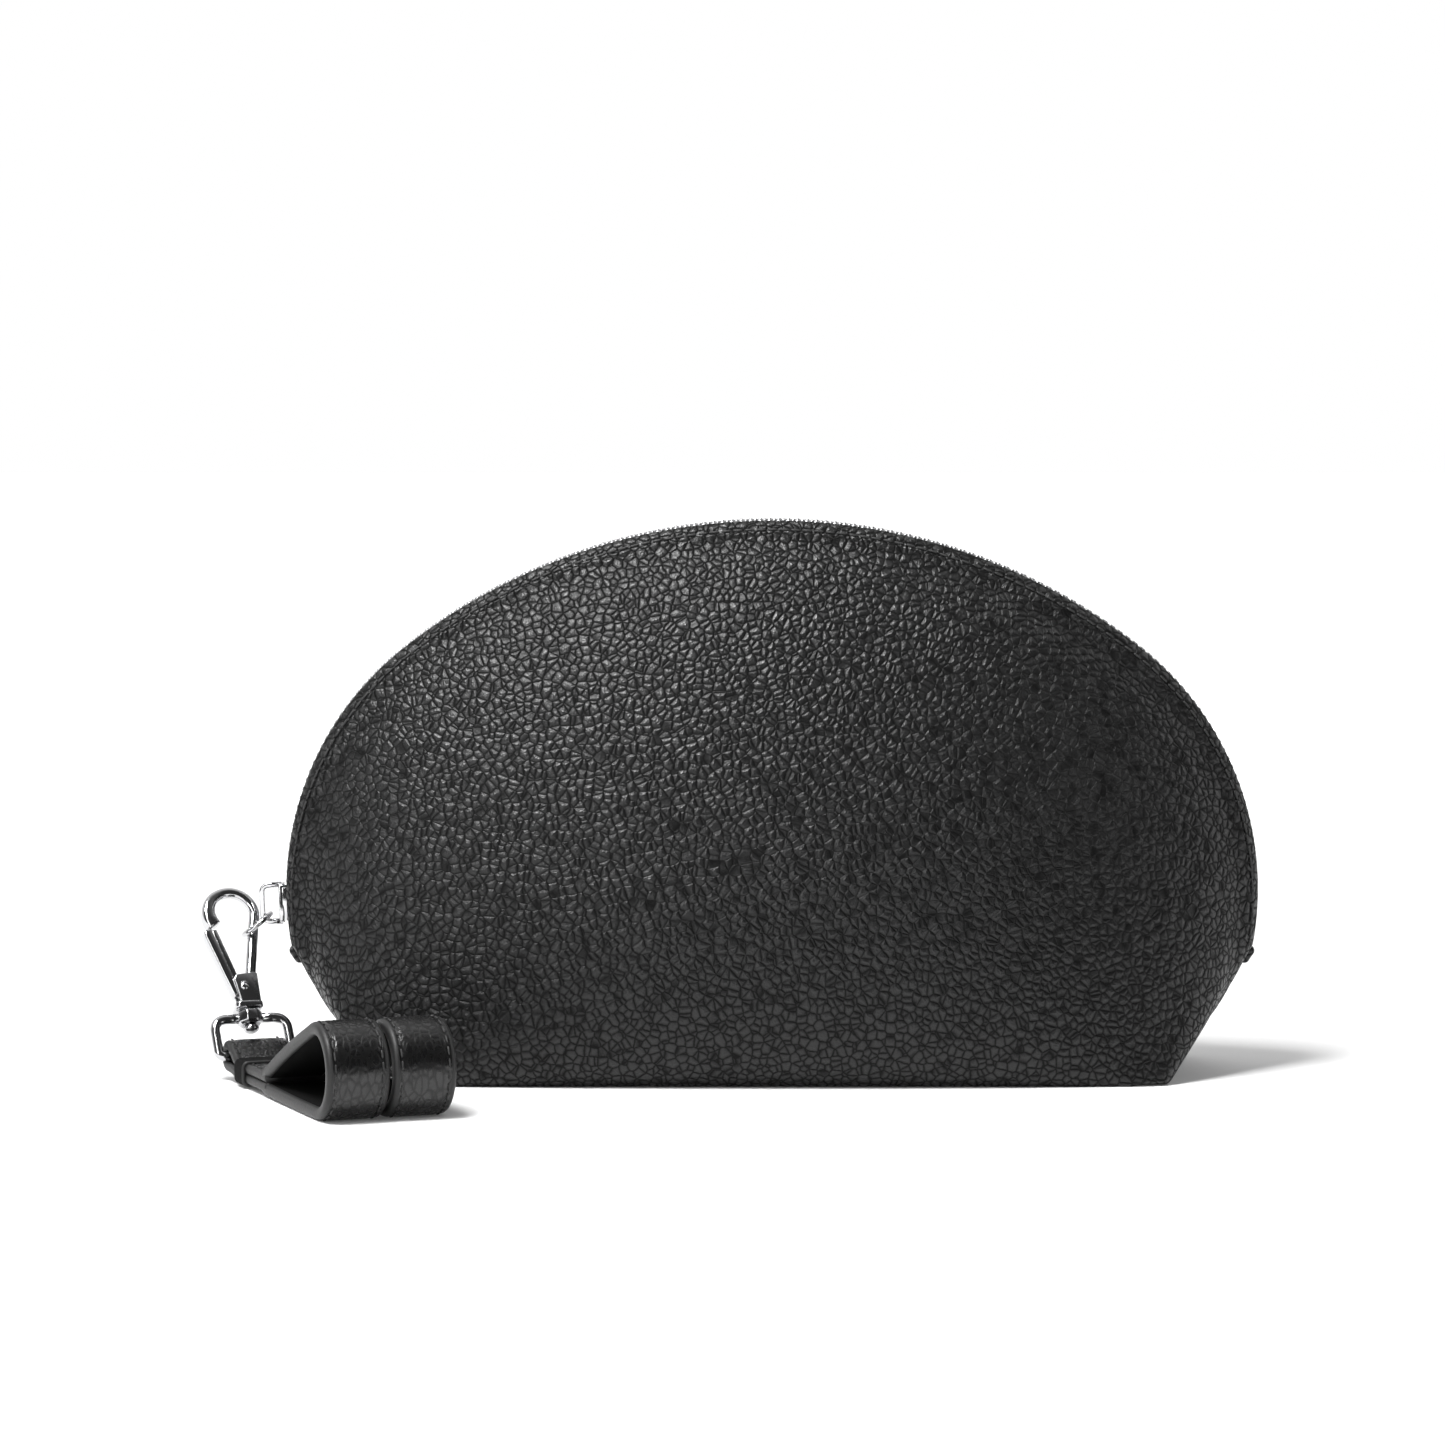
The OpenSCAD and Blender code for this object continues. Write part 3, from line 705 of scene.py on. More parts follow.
def row_along(name, line_points, item, pitch, material, pivot="AUTO"):
    """Repeats item along the line and returns the row as a plain mesh."""
    count = len(line_points)
    line_object = mesh_object(name, line_points, [], edges=[(i, i + 1) for i in range(count - 1)])
    tree, pitch_input = along_line_tree(name + "_tree", item, pivot, material)
    modifier = line_object.modifiers.new("row", "NODES")
    modifier.node_group = tree
    modifier[pitch_input] = pitch
    bpy.context.view_layer.update()
    seen = line_object.evaluated_get(bpy.context.evaluated_depsgraph_get())
    mesh = bpy.data.meshes.new_from_object(seen)
    bpy.data.objects.remove(line_object)
    made = bpy.data.objects.new(name, mesh)
    bpy.context.scene.collection.objects.link(made)
    print(name, len(mesh.polygons), "faces")
    return made


# %% [markdown]
# Small solid shapes start as boxes with bevelled edges, because stamped and cast metal always has
# a small radius that catches the light. The bevel is applied at once, so the shape is plain mesh.

# %% Boxes with rounded edges


def round_edges(made, width, segments=2, angle=30):
    modifier = made.modifiers.new("round", "BEVEL")
    modifier.width = width
    modifier.segments = segments
    modifier.limit_method = "ANGLE"
    modifier.angle_limit = math.radians(angle)
    modifier.harden_normals = False
    bpy.context.view_layer.update()
    seen = made.evaluated_get(bpy.context.evaluated_depsgraph_get())
    mesh = bpy.data.meshes.new_from_object(seen)
    made.modifiers.clear()
    made.data = mesh
    return made


def box_points(low, high):
    (a, b, c), (d, e, f) = low, high
    corners = [(a, b, c), (d, b, c), (d, e, c), (a, e, c), (a, b, f), (d, b, f), (d, e, f), (a, e, f)]
    sides = [(0, 3, 2, 1), (4, 5, 6, 7), (0, 1, 5, 4), (1, 2, 6, 5), (2, 3, 7, 6), (3, 0, 4, 7)]
    return corners, sides


def boxes(name, pairs, material, width, segments=2):
    """Several rounded boxes in one piece; each is given by its low and high corners in mm."""
    points, faces = [], []
    for low, high in pairs:
        corners, sides = box_points([c * MM for c in low], [c * MM for c in high])
        faces += [tuple(len(points) + i for i in side) for side in sides]
        points += corners
    made = mesh_object(name, points, faces, material)
    return round_edges(made, width * MM, segments)


# %% [markdown]
# A metal tooth is clamped on the tape by its two jaws, and its narrow head hooks between the heads
# of the other row. The two rows sit half a pitch apart. The back row rides on the back half, and
# the front row and its tape are pieces of their own, like the front panel.

# %% Teeth
tooth = boxes("tooth", [((-0.5, 0.85, -1.1), (0.5, 2.75, 1.1)), ((-0.66, -0.55, -0.8), (0.66, 1.1, 0.8))],
              shaded_tooth_nickel, 0.22, 1)
TOOTH_PITCH = 2.1 * MM
STOP_ROOM = 4.0 * MM


def arch_line(start, stop, out=0.0, count=600):
    s = np.linspace(start, stop, count)
    x, z, _ = arch(s, out)
    return np.stack([x, np.zeros(count), z], 1)


def tooth_row(name, side, shift):
    line_points = arch_line(STOP_ROOM + shift * TOOTH_PITCH, ZIP_LEN - STOP_ROOM + shift * TOOTH_PITCH)
    if side < 0:
        tooth.data.transform(Matrix.Scale(-1, 4, (0, 1, 0)))
        tooth.data.flip_normals()
    row = row_along(name, line_points, tooth, TOOTH_PITCH, shaded_tooth_nickel, "Y")
    if side < 0:
        tooth.data.transform(Matrix.Scale(-1, 4, (0, 1, 0)))
        tooth.data.flip_normals()
    return row


front_teeth = tooth_row("front_zip_teeth", -1, -0.25)
back_teeth = tooth_row("back_zip_teeth", 1, 0.25)
bpy.data.objects.remove(tooth)
opens_with_mouth(front_teeth)
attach(back_teeth, "back_half")
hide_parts("front_teeth")
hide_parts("back_teeth")

# %% [markdown]
# The tape is a strip that runs from under the teeth to under the leather's rolled edge. It is made
# as a sheet over the arch: one set of points across, one along, and a thin thickness.

# %% Zip tape and linings


def strip(name, side, across, material, thick):
    """A strip along the arch. across lists (distance from the middle plane, height out of the arch)."""
    count = 420
    s = np.linspace(0.6 * MM, ZIP_LEN - 0.6 * MM, count)
    rows = []
    for y, out in across:
        x, z, _ = arch(s, out * MM)
        rows.append(np.stack([x, np.full(count, side * y * MM), z], 1))
    grid = np.stack(rows)
    quads = grid_faces(len(across), count, 0, side > 0)
    flat = grid.reshape(-1, 3)
    normals = point_normals(flat, quads)
    return solid_sheet(name, quads, flat, normals, -thick / 2, thick / 2, material)


TAPE = [(1.5, 0), (2.6, 0), (3.6, -0.05), (4.5, -0.15), (5.0, -0.35)]
front_tape = strip("front_zip_tape", -1, TAPE, zip_tape, 0.5 * MM)
back_tape = strip("back_zip_tape", 1, TAPE, zip_tape, 0.5 * MM)
opens_with_mouth(front_tape)
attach(back_tape, "back_half")
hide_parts("front_tape")
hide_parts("back_tape")


def lining(name, side):
    """The cloth behind a panel: the panel's own surface, set in by the leather's thickness."""
    u = np.linspace(-0.95, 0.95, 81)
    v = np.linspace(0.035, 0.965, 41)
    grid = panel(side, u[None, :], v[:, None])
    quads = grid_faces(len(v), len(u), 0, side > 0)
    flat = grid.reshape(-1, 3)
    normals = point_normals(flat, quads)
    slack = 0.35 * MM * slow_noise(flat, 160, 9)
    flat = flat - normals * (LEATHER + 0.9 * MM + slack)[:, None]
    return solid_sheet(name, quads, flat, normals, 0, 0.5 * MM, lining_cloth)


front_lining = lining("front_cloth_lining", -1)
back_lining = lining("back_cloth_lining", 1)
opens_with_mouth(front_lining)
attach(back_lining, "back_half")
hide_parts("front_lining")
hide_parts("back_lining")

# %% [markdown]
# A stiff card lies on the base leather, with a strip of the same cloth over it. Both are flat sheets
# of the size that their own CAD bodies have.

# %% Card and cloth on the base


def base_sheet(name, body, material):
    """A flat sheet on the base, between the corners of its CAD body."""
    low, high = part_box(body)
    sheet = boxes(name, [(tuple(low / MM), tuple(high / MM))], material, 0.2)
    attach(sheet, "back_half")
    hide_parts(body)


base_sheet("base_card_sheet", "base_board", base_card)
base_sheet("base_cloth_lining", "base_lining", lining_cloth)

# %% [markdown]
# The edge stitches run 2.6 mm in from the fold, in the groove that was sunk for them. A stitch is a
# short round-ended run of thread, a little shorter than its pitch, so that the holes show between.

# %% Stitches along the zip


def capsule(name, length, radius, material, sides=8):
    """A round-ended rod along X."""
    rings = [(-0.5, 0.0), (-0.46, 0.6), (-0.3, 1.0), (0.3, 1.0), (0.46, 0.6), (0.5, 0.0)]
    points, faces = [], []
    for along, wide in rings[1:-1]:
        for k in range(sides):
            a = 2 * math.pi * k / sides
            points.append((along * length, wide * radius * math.cos(a), wide * radius * math.sin(a)))
    for r in range(len(rings) - 3):
        for k in range(sides):
            n = (k + 1) % sides
            faces.append((r * sides + k, (r + 1) * sides + k, (r + 1) * sides + n, r * sides + n))
    faces = [f[::-1] for f in faces]
    points += [(-0.5 * length, 0, 0), (0.5 * length, 0, 0)]
    last = len(points)
    top = (len(rings) - 3) * sides
    for k in range(sides):
        n = (k + 1) % sides
        faces.append((last - 2, n, k))
        faces.append((last - 1, top + k, top + n))
    made = mesh_object(name, points, faces, material)
    fix = bmesh.new()
    fix.from_mesh(made.data)
    bmesh.ops.recalc_face_normals(fix, faces=fix.faces)
    fix.to_mesh(made.data)
    fix.free()
    return made


def skin_line(side, distance, lift, count=500):
    """Points on a panel at a distance in from the zip edge, raised a little over the groove."""
    line_points = []
    fine = np.linspace(0.9, 1, 160)
    for u in np.linspace(-0.985, 0.985, count):
        across = panel(side, u, fine)
        gap = np.linalg.norm(across - across[-1], axis=1)
        pick = int(np.argmin(np.abs(gap - distance)))
        point = across[pick]
        out = panel(side, u, fine[pick] + 0.002) - panel(side, u, fine[pick] - 0.002)
        along = panel(side, u + 0.002, fine[pick]) - panel(side, u - 0.002, fine[pick])
        normal = np.cross(along, out) * -side
        normal = normal / np.linalg.norm(normal)
        if normal[1] * side < 0:
            normal = -normal
        line_points.append(point + normal * lift)
    return line_points


STITCH_PITCH = 2.6 * MM
stitch = capsule("stitch", 2.15 * MM, 0.27 * MM, thread)
for side, body in ((-1, "front_half"), (1, "back_half")):
    seam = row_along(("front" if side < 0 else "back") + "_edge_stitches",
                     skin_line(side, STITCH_IN, 0.36 * MM), stitch, STITCH_PITCH, thread)
    if side < 0:
        opens_with_mouth(seam)
    else:
        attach(seam, body)

bpy.data.objects.remove(stitch)

# %% [markdown]
# The zip's ends are tucked into small folded leather tabs that stand out a little from the outline,
# and metal stops close the rows beside them.

# %% Zip ends
for name, side in (("left_zip_tab", -1), ("right_zip_tab", 1)):
    low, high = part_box(name)
    centre = (low + high) / 2
    tab = boxes(name + "_leather", [((-1.5, -3.0, -2.2), (1.7, 3.0, 2.2))], body_leather, 1.2, 4)
    lean = math.atan2(SIDE_X + SIDE_R * math.cos(END_A) - BASE_W / 2, CORNER_H)
    turn = Matrix.Rotation(side * lean, 4, "Y")
    tab.data.transform(Matrix.Translation(centre) @ turn @ Matrix.Scale(side, 4, (1, 0, 0)))
    if side < 0:
        tab.data.flip_normals()
    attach(tab, "back_half")
    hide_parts(name)

# %% [markdown]
# The clip hangs from the slider, and each of its pieces turns about one of the model's joints. So
# each piece is drawn in its joint's own frame: the joint gives the place and one axis, and the
# piece stays right when the model's sizes change.

# %% Frames of the slider, the ring, the hook and the strap


def frame_at(place, up, front):
    """A 4x4 matrix with Z along up and X as near front as it can be, at a place."""
    z = np.array(up) / np.linalg.norm(up)
    x = np.array(front) - np.dot(front, z) * z
    x = x / np.linalg.norm(x)
    y = np.cross(z, x)
    made = Matrix.Identity(4)
    for row in range(3):
        made[row][0], made[row][1], made[row][2], made[row][3] = x[row], y[row], z[row], place[row]
    return made


HOLD = np.array(joint_point("ring_swing"))
RING_CENTRE = np.array(joint_point("hook_swing"))
RING_AXIS = np.array(joint_axis("hook_swing"))
HOOK_UP = np.array(joint_axis("dee_swivel"))
HOOK_FOOT = np.array(joint_point("dee_swivel")) + 2 * MM * HOOK_UP
HOOK_SIDE = np.array(joint_axis("strap_lift"))
BAR = np.array(joint_point("strap_lift"))
hook_frame = frame_at(HOOK_FOOT, HOOK_UP, HOOK_SIDE)
strap_frame = frame_at(BAR, (0, 0, 1), HOOK_SIDE)
print("hook foot", [round(float(c), 4) for c in HOOK_FOOT], "bar", [round(float(c), 4) for c in BAR])


def placed(made, frame_matrix, body, *nodes):
    """Puts a piece drawn in mm into its frame, and says what it rides on and replaces."""
    made.data.transform(frame_matrix @ Matrix.Scale(MM, 4))
    made.data.update()
    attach(made, body)
    for name in nodes:
        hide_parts(name)
    return made


def mm_boxes(name, pairs, material, width, segments=2):
    made = boxes(name, pairs, material, width, segments)
    made.data.transform(Matrix.Scale(1 / MM, 4))
    return made


# %% [markdown]
# Wires, rings and pins are swept: a circle carried along a line of points. The circle is carried
# by turning it as little as possible from point to point, so the tube never twists.

# %% Swept wires and turned shapes


def swept(name, path, radii, material, sides=20, closed=False):
    """A tube in mm along path; radii is one number or one for each point."""
    path = np.array(path, float)
    count = len(path)
    radii = np.broadcast_to(np.array(radii, float), (count,))
    if closed:
        ahead = np.roll(path, -1, 0) - np.roll(path, 1, 0)
    else:
        ahead = np.gradient(path, axis=0)
    ahead /= np.linalg.norm(ahead, axis=1)[:, None]
    side = np.cross(ahead[0], (0.31, 0.17, 0.93) if abs(ahead[0][2]) < 0.9 else (1, 0, 0))
    points, faces = [], []
    for i in range(count):
        side = side - np.dot(side, ahead[i]) * ahead[i]
        side /= np.linalg.norm(side)
        other = np.cross(ahead[i], side)
        for k in range(sides):
            a = 2 * math.pi * k / sides
            points.append(path[i] + radii[i] * (math.cos(a) * side + math.sin(a) * other))
    for i in range(count if closed else count - 1):
        j = (i + 1) % count
        for k in range(sides):
            n = (k + 1) % sides
            faces.append((i * sides + k, i * sides + n, j * sides + n, j * sides + k))
    if not closed:
        faces.append(tuple(range(sides))[::-1])
        faces.append(tuple((count - 1) * sides + k for k in range(sides)))
    return mesh_object(name, points, faces, material)


def round_path(corners, radius, steps=8):
    """Rounds the inner corners of a line of points, each by an arc that touches both sides."""
    corners = [np.array(c, float) for c in corners]
    path = [corners[0]]
    for before, at, after in zip(corners, corners[1:], corners[2:]):
        a = (before - at) / np.linalg.norm(before - at)
        b = (after - at) / np.linalg.norm(after - at)
        half = math.acos(np.clip(np.dot(a, b), -1, 1)) / 2
        cut = min(radius / math.tan(half), np.linalg.norm(before - at) * 0.49,
                  np.linalg.norm(after - at) * 0.49)
        for k in range(steps + 1):
            t = k / steps
            path.append((1 - t) ** 2 * (at + a * cut) + 2 * t * (1 - t) * at + t * t * (at + b * cut))
    path.append(corners[-1])
    return path


def turned_shape(name, outline, material, sides=48):
    """A solid of revolution about Z from (radius, height) points, first and last on the axis."""
    points, faces = [], []
    rings = outline[1:-1]
    for radius, height in rings:
        for k in range(sides):
            a = 2 * math.pi * k / sides
            points.append((radius * math.cos(a), radius * math.sin(a), height))
    points += [(0, 0, outline[0][1]), (0, 0, outline[-1][1])]
    low, high = len(points) - 2, len(points) - 1
    last = (len(rings) - 1) * sides
    for k in range(sides):
        n = (k + 1) % sides
        faces.append((low, n, k))
        faces.append((high, last + k, last + n))
        for r in range(len(rings) - 1):
            faces.append((r * sides + k, r * sides + n, (r + 1) * sides + n, (r + 1) * sides + k))
    made = mesh_object(name, points, faces, material)
    outward(made)
    return made


def outward(made):
    fix = bmesh.new()
    fix.from_mesh(made.data)
    bmesh.ops.recalc_face_normals(fix, faces=fix.faces)
    fix.to_mesh(made.data)
    fix.free()
    return made


def joined(name, *parts):
    """Several closed shapes in one object."""
    whole = bmesh.new()
    for part in parts:
        whole.from_mesh(part.data)
    mesh = bpy.data.meshes.new(name)
    whole.to_mesh(mesh)
    whole.free()
    for material in parts[0].data.materials:
        mesh.materials.append(material)
    for part in parts:
        bpy.data.objects.remove(part)
    made = bpy.data.objects.new(name, mesh)
    bpy.context.scene.collection.objects.link(made)
    return made


def outlined(name, corners, low, high, axis, material, width=0.25, segments=3):
    """A plate: a drawn outline given a thickness along an axis (0, 1 or 2), edges rounded."""
    points = []
    for level in (low, high):
        for a, b in corners:
            point = [a, b]
            point.insert(axis, level)
            points.append(point)
    n = len(corners)
    faces = [tuple(range(n))[::-1], tuple(range(n, 2 * n))]
    faces += [(k, (k + 1) % n, n + (k + 1) % n, n + k) for k in range(n)]
    made = outward(mesh_object(name, [[c * MM for c in p] for p in points], faces, material))
    round_edges(made, width * MM, segments, 35)
    made.data.transform(Matrix.Scale(1 / MM, 4))
    return made


def turned(made, angle, axis, centre=(0, 0, 0)):
    there = Matrix.Translation(centre)
    made.data.transform(there @ Matrix.Rotation(math.radians(angle), 4, axis) @ there.inverted())
    return made

# %% [markdown]
# The slider is a small zinc casting: two plates joined by a post, flanges that hold the teeth, and
# a flat bail on the outer plate. Drawn in the slider's frame, -X points out of the arch and Z
# runs up along the zip.

# %% Slider and bail
SLIDER_TURN = math.radians(-2.5)
slider_frame = (Matrix.Translation((-SIDE_X, 0, SIDE_Z)) @ Matrix.Rotation(SLIDER_TURN, 4, "Y")
                @ Matrix.Translation((-SIDE_R, 0, 0)))
PLATE_IN, PLATE_OUT = 1.55, 2.75
plate_line = [(-2.2, -4.5), (-0.8, -3.9), (0.8, -3.9), (2.2, -4.5), (3.5, -4.1), (3.75, -2.2), (3.2, 1.5),
              (2.75, 4.1), (2.2, 4.5), (-2.2, 4.5), (-2.75, 4.1), (-3.2, 1.5), (-3.75, -2.2), (-3.5, -4.1)]
plates = [outlined("plate", plate_line, side * PLATE_IN, side * PLATE_OUT, 0, bright_nickel, 0.32)
          for side in (-1, 1)]
flanges = mm_boxes("flanges", [
    ((side * PLATE_IN - 0.3, low, -3.9), (side * PLATE_IN + 0.3 - side * 0.65, low + 0.7, 3.6))
    for side in (-1, 1) for low in (-3.45, 2.75)], bright_nickel, 0.15)
post = outlined("post", [(0, -4.0), (0.42, -2.9), (0, -1.8), (-0.42, -2.9)], -PLATE_IN, PLATE_IN, 0,
                bright_nickel, 0.08, 2)
slider = joined("zip_slider", *plates, flanges, post)
placed(slider, slider_frame, "slider", "slider_body")


def section(half_thick, half_wide, round_r, steps=5, arc=4):
    """Rounded-rectangle section: (out, across, face kind) with 0 outer, 1 edge, 2 inner face."""
    made = []
    flat_w, flat_t = half_wide - round_r, half_thick - round_r
    for k in range(steps + 1):
        made.append((half_thick, -flat_w + 2 * flat_w * k / steps, 0))
    for k in range(1, arc + 1):
        a = math.pi / 2 * k / arc
        made.append((flat_t + round_r * math.cos(a), flat_w + round_r * math.sin(a), 1))
    for k in range(arc):
        a = math.pi / 2 * k / arc
        made.append((-flat_t - round_r * math.sin(a), flat_w + round_r * math.cos(a), 1))
    for k in range(steps + 1):
        made.append((-half_thick, flat_w - 2 * flat_w * k / steps, 2))
    for k in range(1, arc + 1):
        a = math.pi / 2 * k / arc
        made.append((-flat_t - round_r * math.cos(a), -flat_w - round_r * math.sin(a), 1))
    for k in range(arc):
        a = math.pi / 2 * k / arc
        made.append((flat_t + round_r * math.sin(a), -flat_w - round_r * math.cos(a), 1))
    return made


def side_vectors(path, across, closed=False):
    path = np.array(path, float)
    ahead = np.roll(path, -1, 0) - np.roll(path, 1, 0) if closed else np.gradient(path, axis=0)
    side = np.cross(ahead, np.array(across, float))
    return side / np.linalg.norm(side, axis=1)[:, None]


def ribbon(name, path, half_thick, half_wide, across, materials, round_r=0.5, closed=False, groove=None):
    """A flat band in mm along a path; its width lies along across. groove = (from the edge, depth)."""
    path = np.array(path, float)
    count = len(path)
    half_thick = np.broadcast_to(np.array(half_thick, float), (count,))
    half_wide = np.broadcast_to(np.array(half_wide, float), (count,))
    out = side_vectors(path, across, closed)
    across = np.array(across, float)
    steps = 28 if groove else 5
    points, kinds = [], None
    for i in range(count):
        ring = section(half_thick[i], half_wide[i], min(round_r, half_thick[i] * 0.98), steps)
        kinds = [kind for _, _, kind in ring]
        for o, a, kind in ring:
            if groove and kind == 0:
                gap = (half_wide[i] - abs(a) - groove[0]) / 0.55
                o += groove[1] * (0.7 * (1 - (a / half_wide[i]) ** 4) - math.exp(-gap * gap))
            points.append(path[i] + out[i] * o + across * a)
    n = len(kinds)
    faces, slots = [], []
    for i in range(count if closed else count - 1):
        j = (i + 1) % count
        for k in range(n):
            m = (k + 1) % n
            faces.append((i * n + k, j * n + k, j * n + m, i * n + m))
            slots.append(kinds[k] if kinds[k] == kinds[m] else 1)
    if not closed:
        faces += [tuple(range(n)), tuple((count - 1) * n + k for k in range(n))[::-1]]
        slots += [1, 1]
    made = mesh_object(name, points, faces, *materials)
    made.data.polygons.foreach_set("material_index", [min(s, len(materials) - 1) for s in slots])
    return outward(made)


def corner_path(corners, steps=8):
    """Rounds a line of (point, radius) corners."""
    points = [np.array(p, float) for p, _ in corners]
    path = [points[0]]
    for k in range(1, len(points) - 1):
        path += round_path(points[k - 1:k + 2], corners[k][1], steps)[1:-1]
    return path + [points[-1]]


BAIL_OUT = PLATE_OUT + 4.65 - 0.65
bail_path = corner_path([((-PLATE_OUT + 0.5, 0, 4.05), 0), ((-BAIL_OUT, 0, 4.05), 1.9),
                         ((-BAIL_OUT, 0, -4.25), 1.9), ((-PLATE_OUT + 0.5, 0, -4.25), 0)])
bail = ribbon("slider_bail", bail_path, 0.62, 0.95, (0, 1, 0), [bright_nickel], 0.4)
placed(bail, slider_frame, "slider", "slider_bridge")

# %% [markdown]
# The jump ring is a cut wire ring, and the cut is seen as a thin line. The hook is cast: its wire
# grows wider and flatter at the nose, where the gate shuts against it.

# %% Jump ring and hook body
RING_R, RING_WIRE = 4.0, 0.6
ring_frame = frame_at(RING_CENTRE, RING_AXIS, HOLD - RING_CENTRE)
ring_path = [(RING_R * math.cos(a), RING_R * math.sin(a), 0)
             for a in np.linspace(math.radians(104), math.radians(461), 73)]
placed(swept("jump_ring_wire", ring_path, RING_WIRE, bright_nickel, 16), ring_frame, "ring", "jump_ring")

HOOK_WIRE, BOW_R, BOW_Z = 1.2, 5.4, 24.0
PIN_X, PIN_Z = -0.4, 5.4
NOSE_A, GATE_A = 213, 205
leg = [(1.6 + (BOW_R - 1.6) * t, 0, 7.2 + (BOW_Z - 7.2) * t) for t in np.linspace(0, 0.97, 14)]
bow_angles = np.radians(np.linspace(0, NOSE_A, 40))
bow = [(BOW_R * math.cos(a), 0, BOW_Z + BOW_R * math.sin(a)) for a in bow_angles]
hook_path = leg + bow
grown = np.clip((np.arange(len(hook_path)) - len(leg) - 20) / 16, 0, 1)
hook_wire = ribbon("wire", hook_path, HOOK_WIRE + 0.45 * grown, HOOK_WIRE + 0.6 * grown, (0, -1, 0),
                   [bright_nickel], 1.0)
plate_side = [(-1.7, 1.0), (2.8, 1.0), (2.95, 8.3), (2.2, 8.7), (-2.0, 8.2), (-2.6, 7.2)]
cheeks = [outlined("cheek", plate_side, y, y + 0.95, 1, bright_nickel, 0.22) for y in (-2.15, 1.2)]
spine = mm_boxes("spine", [((1.5, -1.3, 1.0), (2.75, 1.3, 8.2))], bright_nickel, 0.2)
rim = outlined("rim", [(-3.2, -1.9), (-2.5, -2.6), (2.5, -2.6), (3.2, -1.9), (3.2, 1.9), (2.5, 2.6),
                       (-2.5, 2.6), (-3.2, 1.9)], 0.0, 1.5, 2, bright_nickel, 0.35)
hook = joined("snap_hook", hook_wire, *cheeks, spine, rim)
placed(hook, hook_frame, "hook", "hook_body")
print("slider, bail, ring and hook:", len(hook.data.polygons), "faces in the hook")

# %% [markdown]
# The gate turns on a riveted pin whose head has a screwdriver slot. The thumb presses on its wide
# outer lever; the inner bar closes the bow. The small coil spring behind the pin shuts it again.

# %% Gate, pin and spring
GATE_LOW = np.array([-1.6, 0, PIN_Z + 1.4])
GATE_TOP = np.array([-BOW_R * math.cos(math.radians(GATE_A - 180)) - 0.2, 0,
                     BOW_Z - BOW_R * math.sin(math.radians(GATE_A - 180)) - 1.6])
GATE_LEN = float(np.linalg.norm(GATE_TOP - GATE_LOW))
gate_frame = frame_at(GATE_LOW, GATE_TOP - GATE_LOW, (1, 0, 0))
lever = outlined("lever", [(-2.15, -3.4), (-0.5, -2.4), (-0.45, GATE_LEN + 0.2), (-2.3, GATE_LEN + 0.2),
                           (-2.6, GATE_LEN - 1.2), (-2.4, 1.5)], -1.5, 1.5, 1, bright_nickel, 0.35)
bar = mm_boxes("bar", [((-0.6, -0.9, -0.6), (0.85, 0.9, GATE_LEN - 0.1))], bright_nickel, 0.4, 3)
for part in (lever, bar):
    part.data.transform(gate_frame)
hub = turned_shape("hub", [(0, -1.0), (1.5, -1.0), (1.6, -0.9), (1.6, 0.9), (1.5, 1.0), (0, 1.0)],
                   bright_nickel)
turned(hub, 90, "X")
hub.data.transform(Matrix.Translation((PIN_X, 0, PIN_Z)))
gate = joined("hook_gate_lever", lever, bar, hub)
placed(gate, hook_frame, "gate", "hook_gate")

pin_outline = [(0, -2.62), (0.5, -2.6), (0.95, -2.42), (1.1, -2.2), (1.1, -2.05), (0.8, -2.0), (0.8, 2.2),
               (0.6, 2.4), (0, 2.45)]
pin = turned_shape("gate_pin_rivet", pin_outline, bright_nickel)
slot_cut = mm_boxes("slot_cut", [((-1.4, -0.14, -3.0), (1.4, 0.14, -2.32))], bright_nickel, 0.01, 1)
turned(slot_cut, 40, "Z")
cut = pin.modifiers.new("slot", "BOOLEAN")
cut.operation = "DIFFERENCE"
cut.solver = "EXACT"
cut.object = slot_cut
bpy.context.view_layer.update()
pin.data = bpy.data.meshes.new_from_object(pin.evaluated_get(bpy.context.evaluated_depsgraph_get()))
pin.modifiers.clear()
bpy.data.objects.remove(slot_cut)
turned(pin, -90, "X")
pin.data.transform(Matrix.Translation((PIN_X, 0, PIN_Z)))
placed(pin, hook_frame, "hook", "gate_pin")

spring_path = [(0.52 * math.cos(a), -0.8 + 1.6 * a / (2 * math.pi * 4), 0.52 * math.sin(a))
               for a in np.linspace(0, 2 * math.pi * 4, 97)]
spring = swept("gate_spring_coil", spring_path, 0.17, bright_nickel, 8)
spring.data.transform(Matrix.Translation((PIN_X, 0, 2.55)))
placed(spring, hook_frame, "hook", "gate_spring")

# %% [markdown]
# The D-ring's collar is an eight-sided nut that turns on the hook's stud, so the strap can swivel.
# It is turned with a bore, and kept flat-sided; the ring's wire goes in at both sides of it.

# %% Swivel stud and D-ring
STUD_R, COLLAR_TOP, COLLAR_LOW = 1.2, -0.25, -3.65
stud = turned_shape("swivel_rivet", [(0, -5.3), (1.2, -5.25), (1.7, -4.9), (1.8, -4.4), (1.6, -3.95),
                                     (STUD_R, -3.85), (STUD_R, -0.1), (1.7, 0.0), (0, 0.02)], bright_nickel)
placed(stud, hook_frame, "hook", "swivel_stud")


def turned_ring(name, outline, material, sides, start=0.0):
    """A ring about Z: a closed (radius, height) outline carried round."""
    points, faces = [], []
    n = len(outline)
    for k in range(sides):
        a = 2 * math.pi * k / sides + start
        points += [(r * math.cos(a), r * math.sin(a), h) for r, h in outline]
    for k in range(sides):
        j = (k + 1) % sides
        for i in range(n):
            m = (i + 1) % n
            faces.append((k * n + i, j * n + i, j * n + m, k * n + m))
    return outward(mesh_object(name, [[c * MM for c in p] for p in points], faces, material))


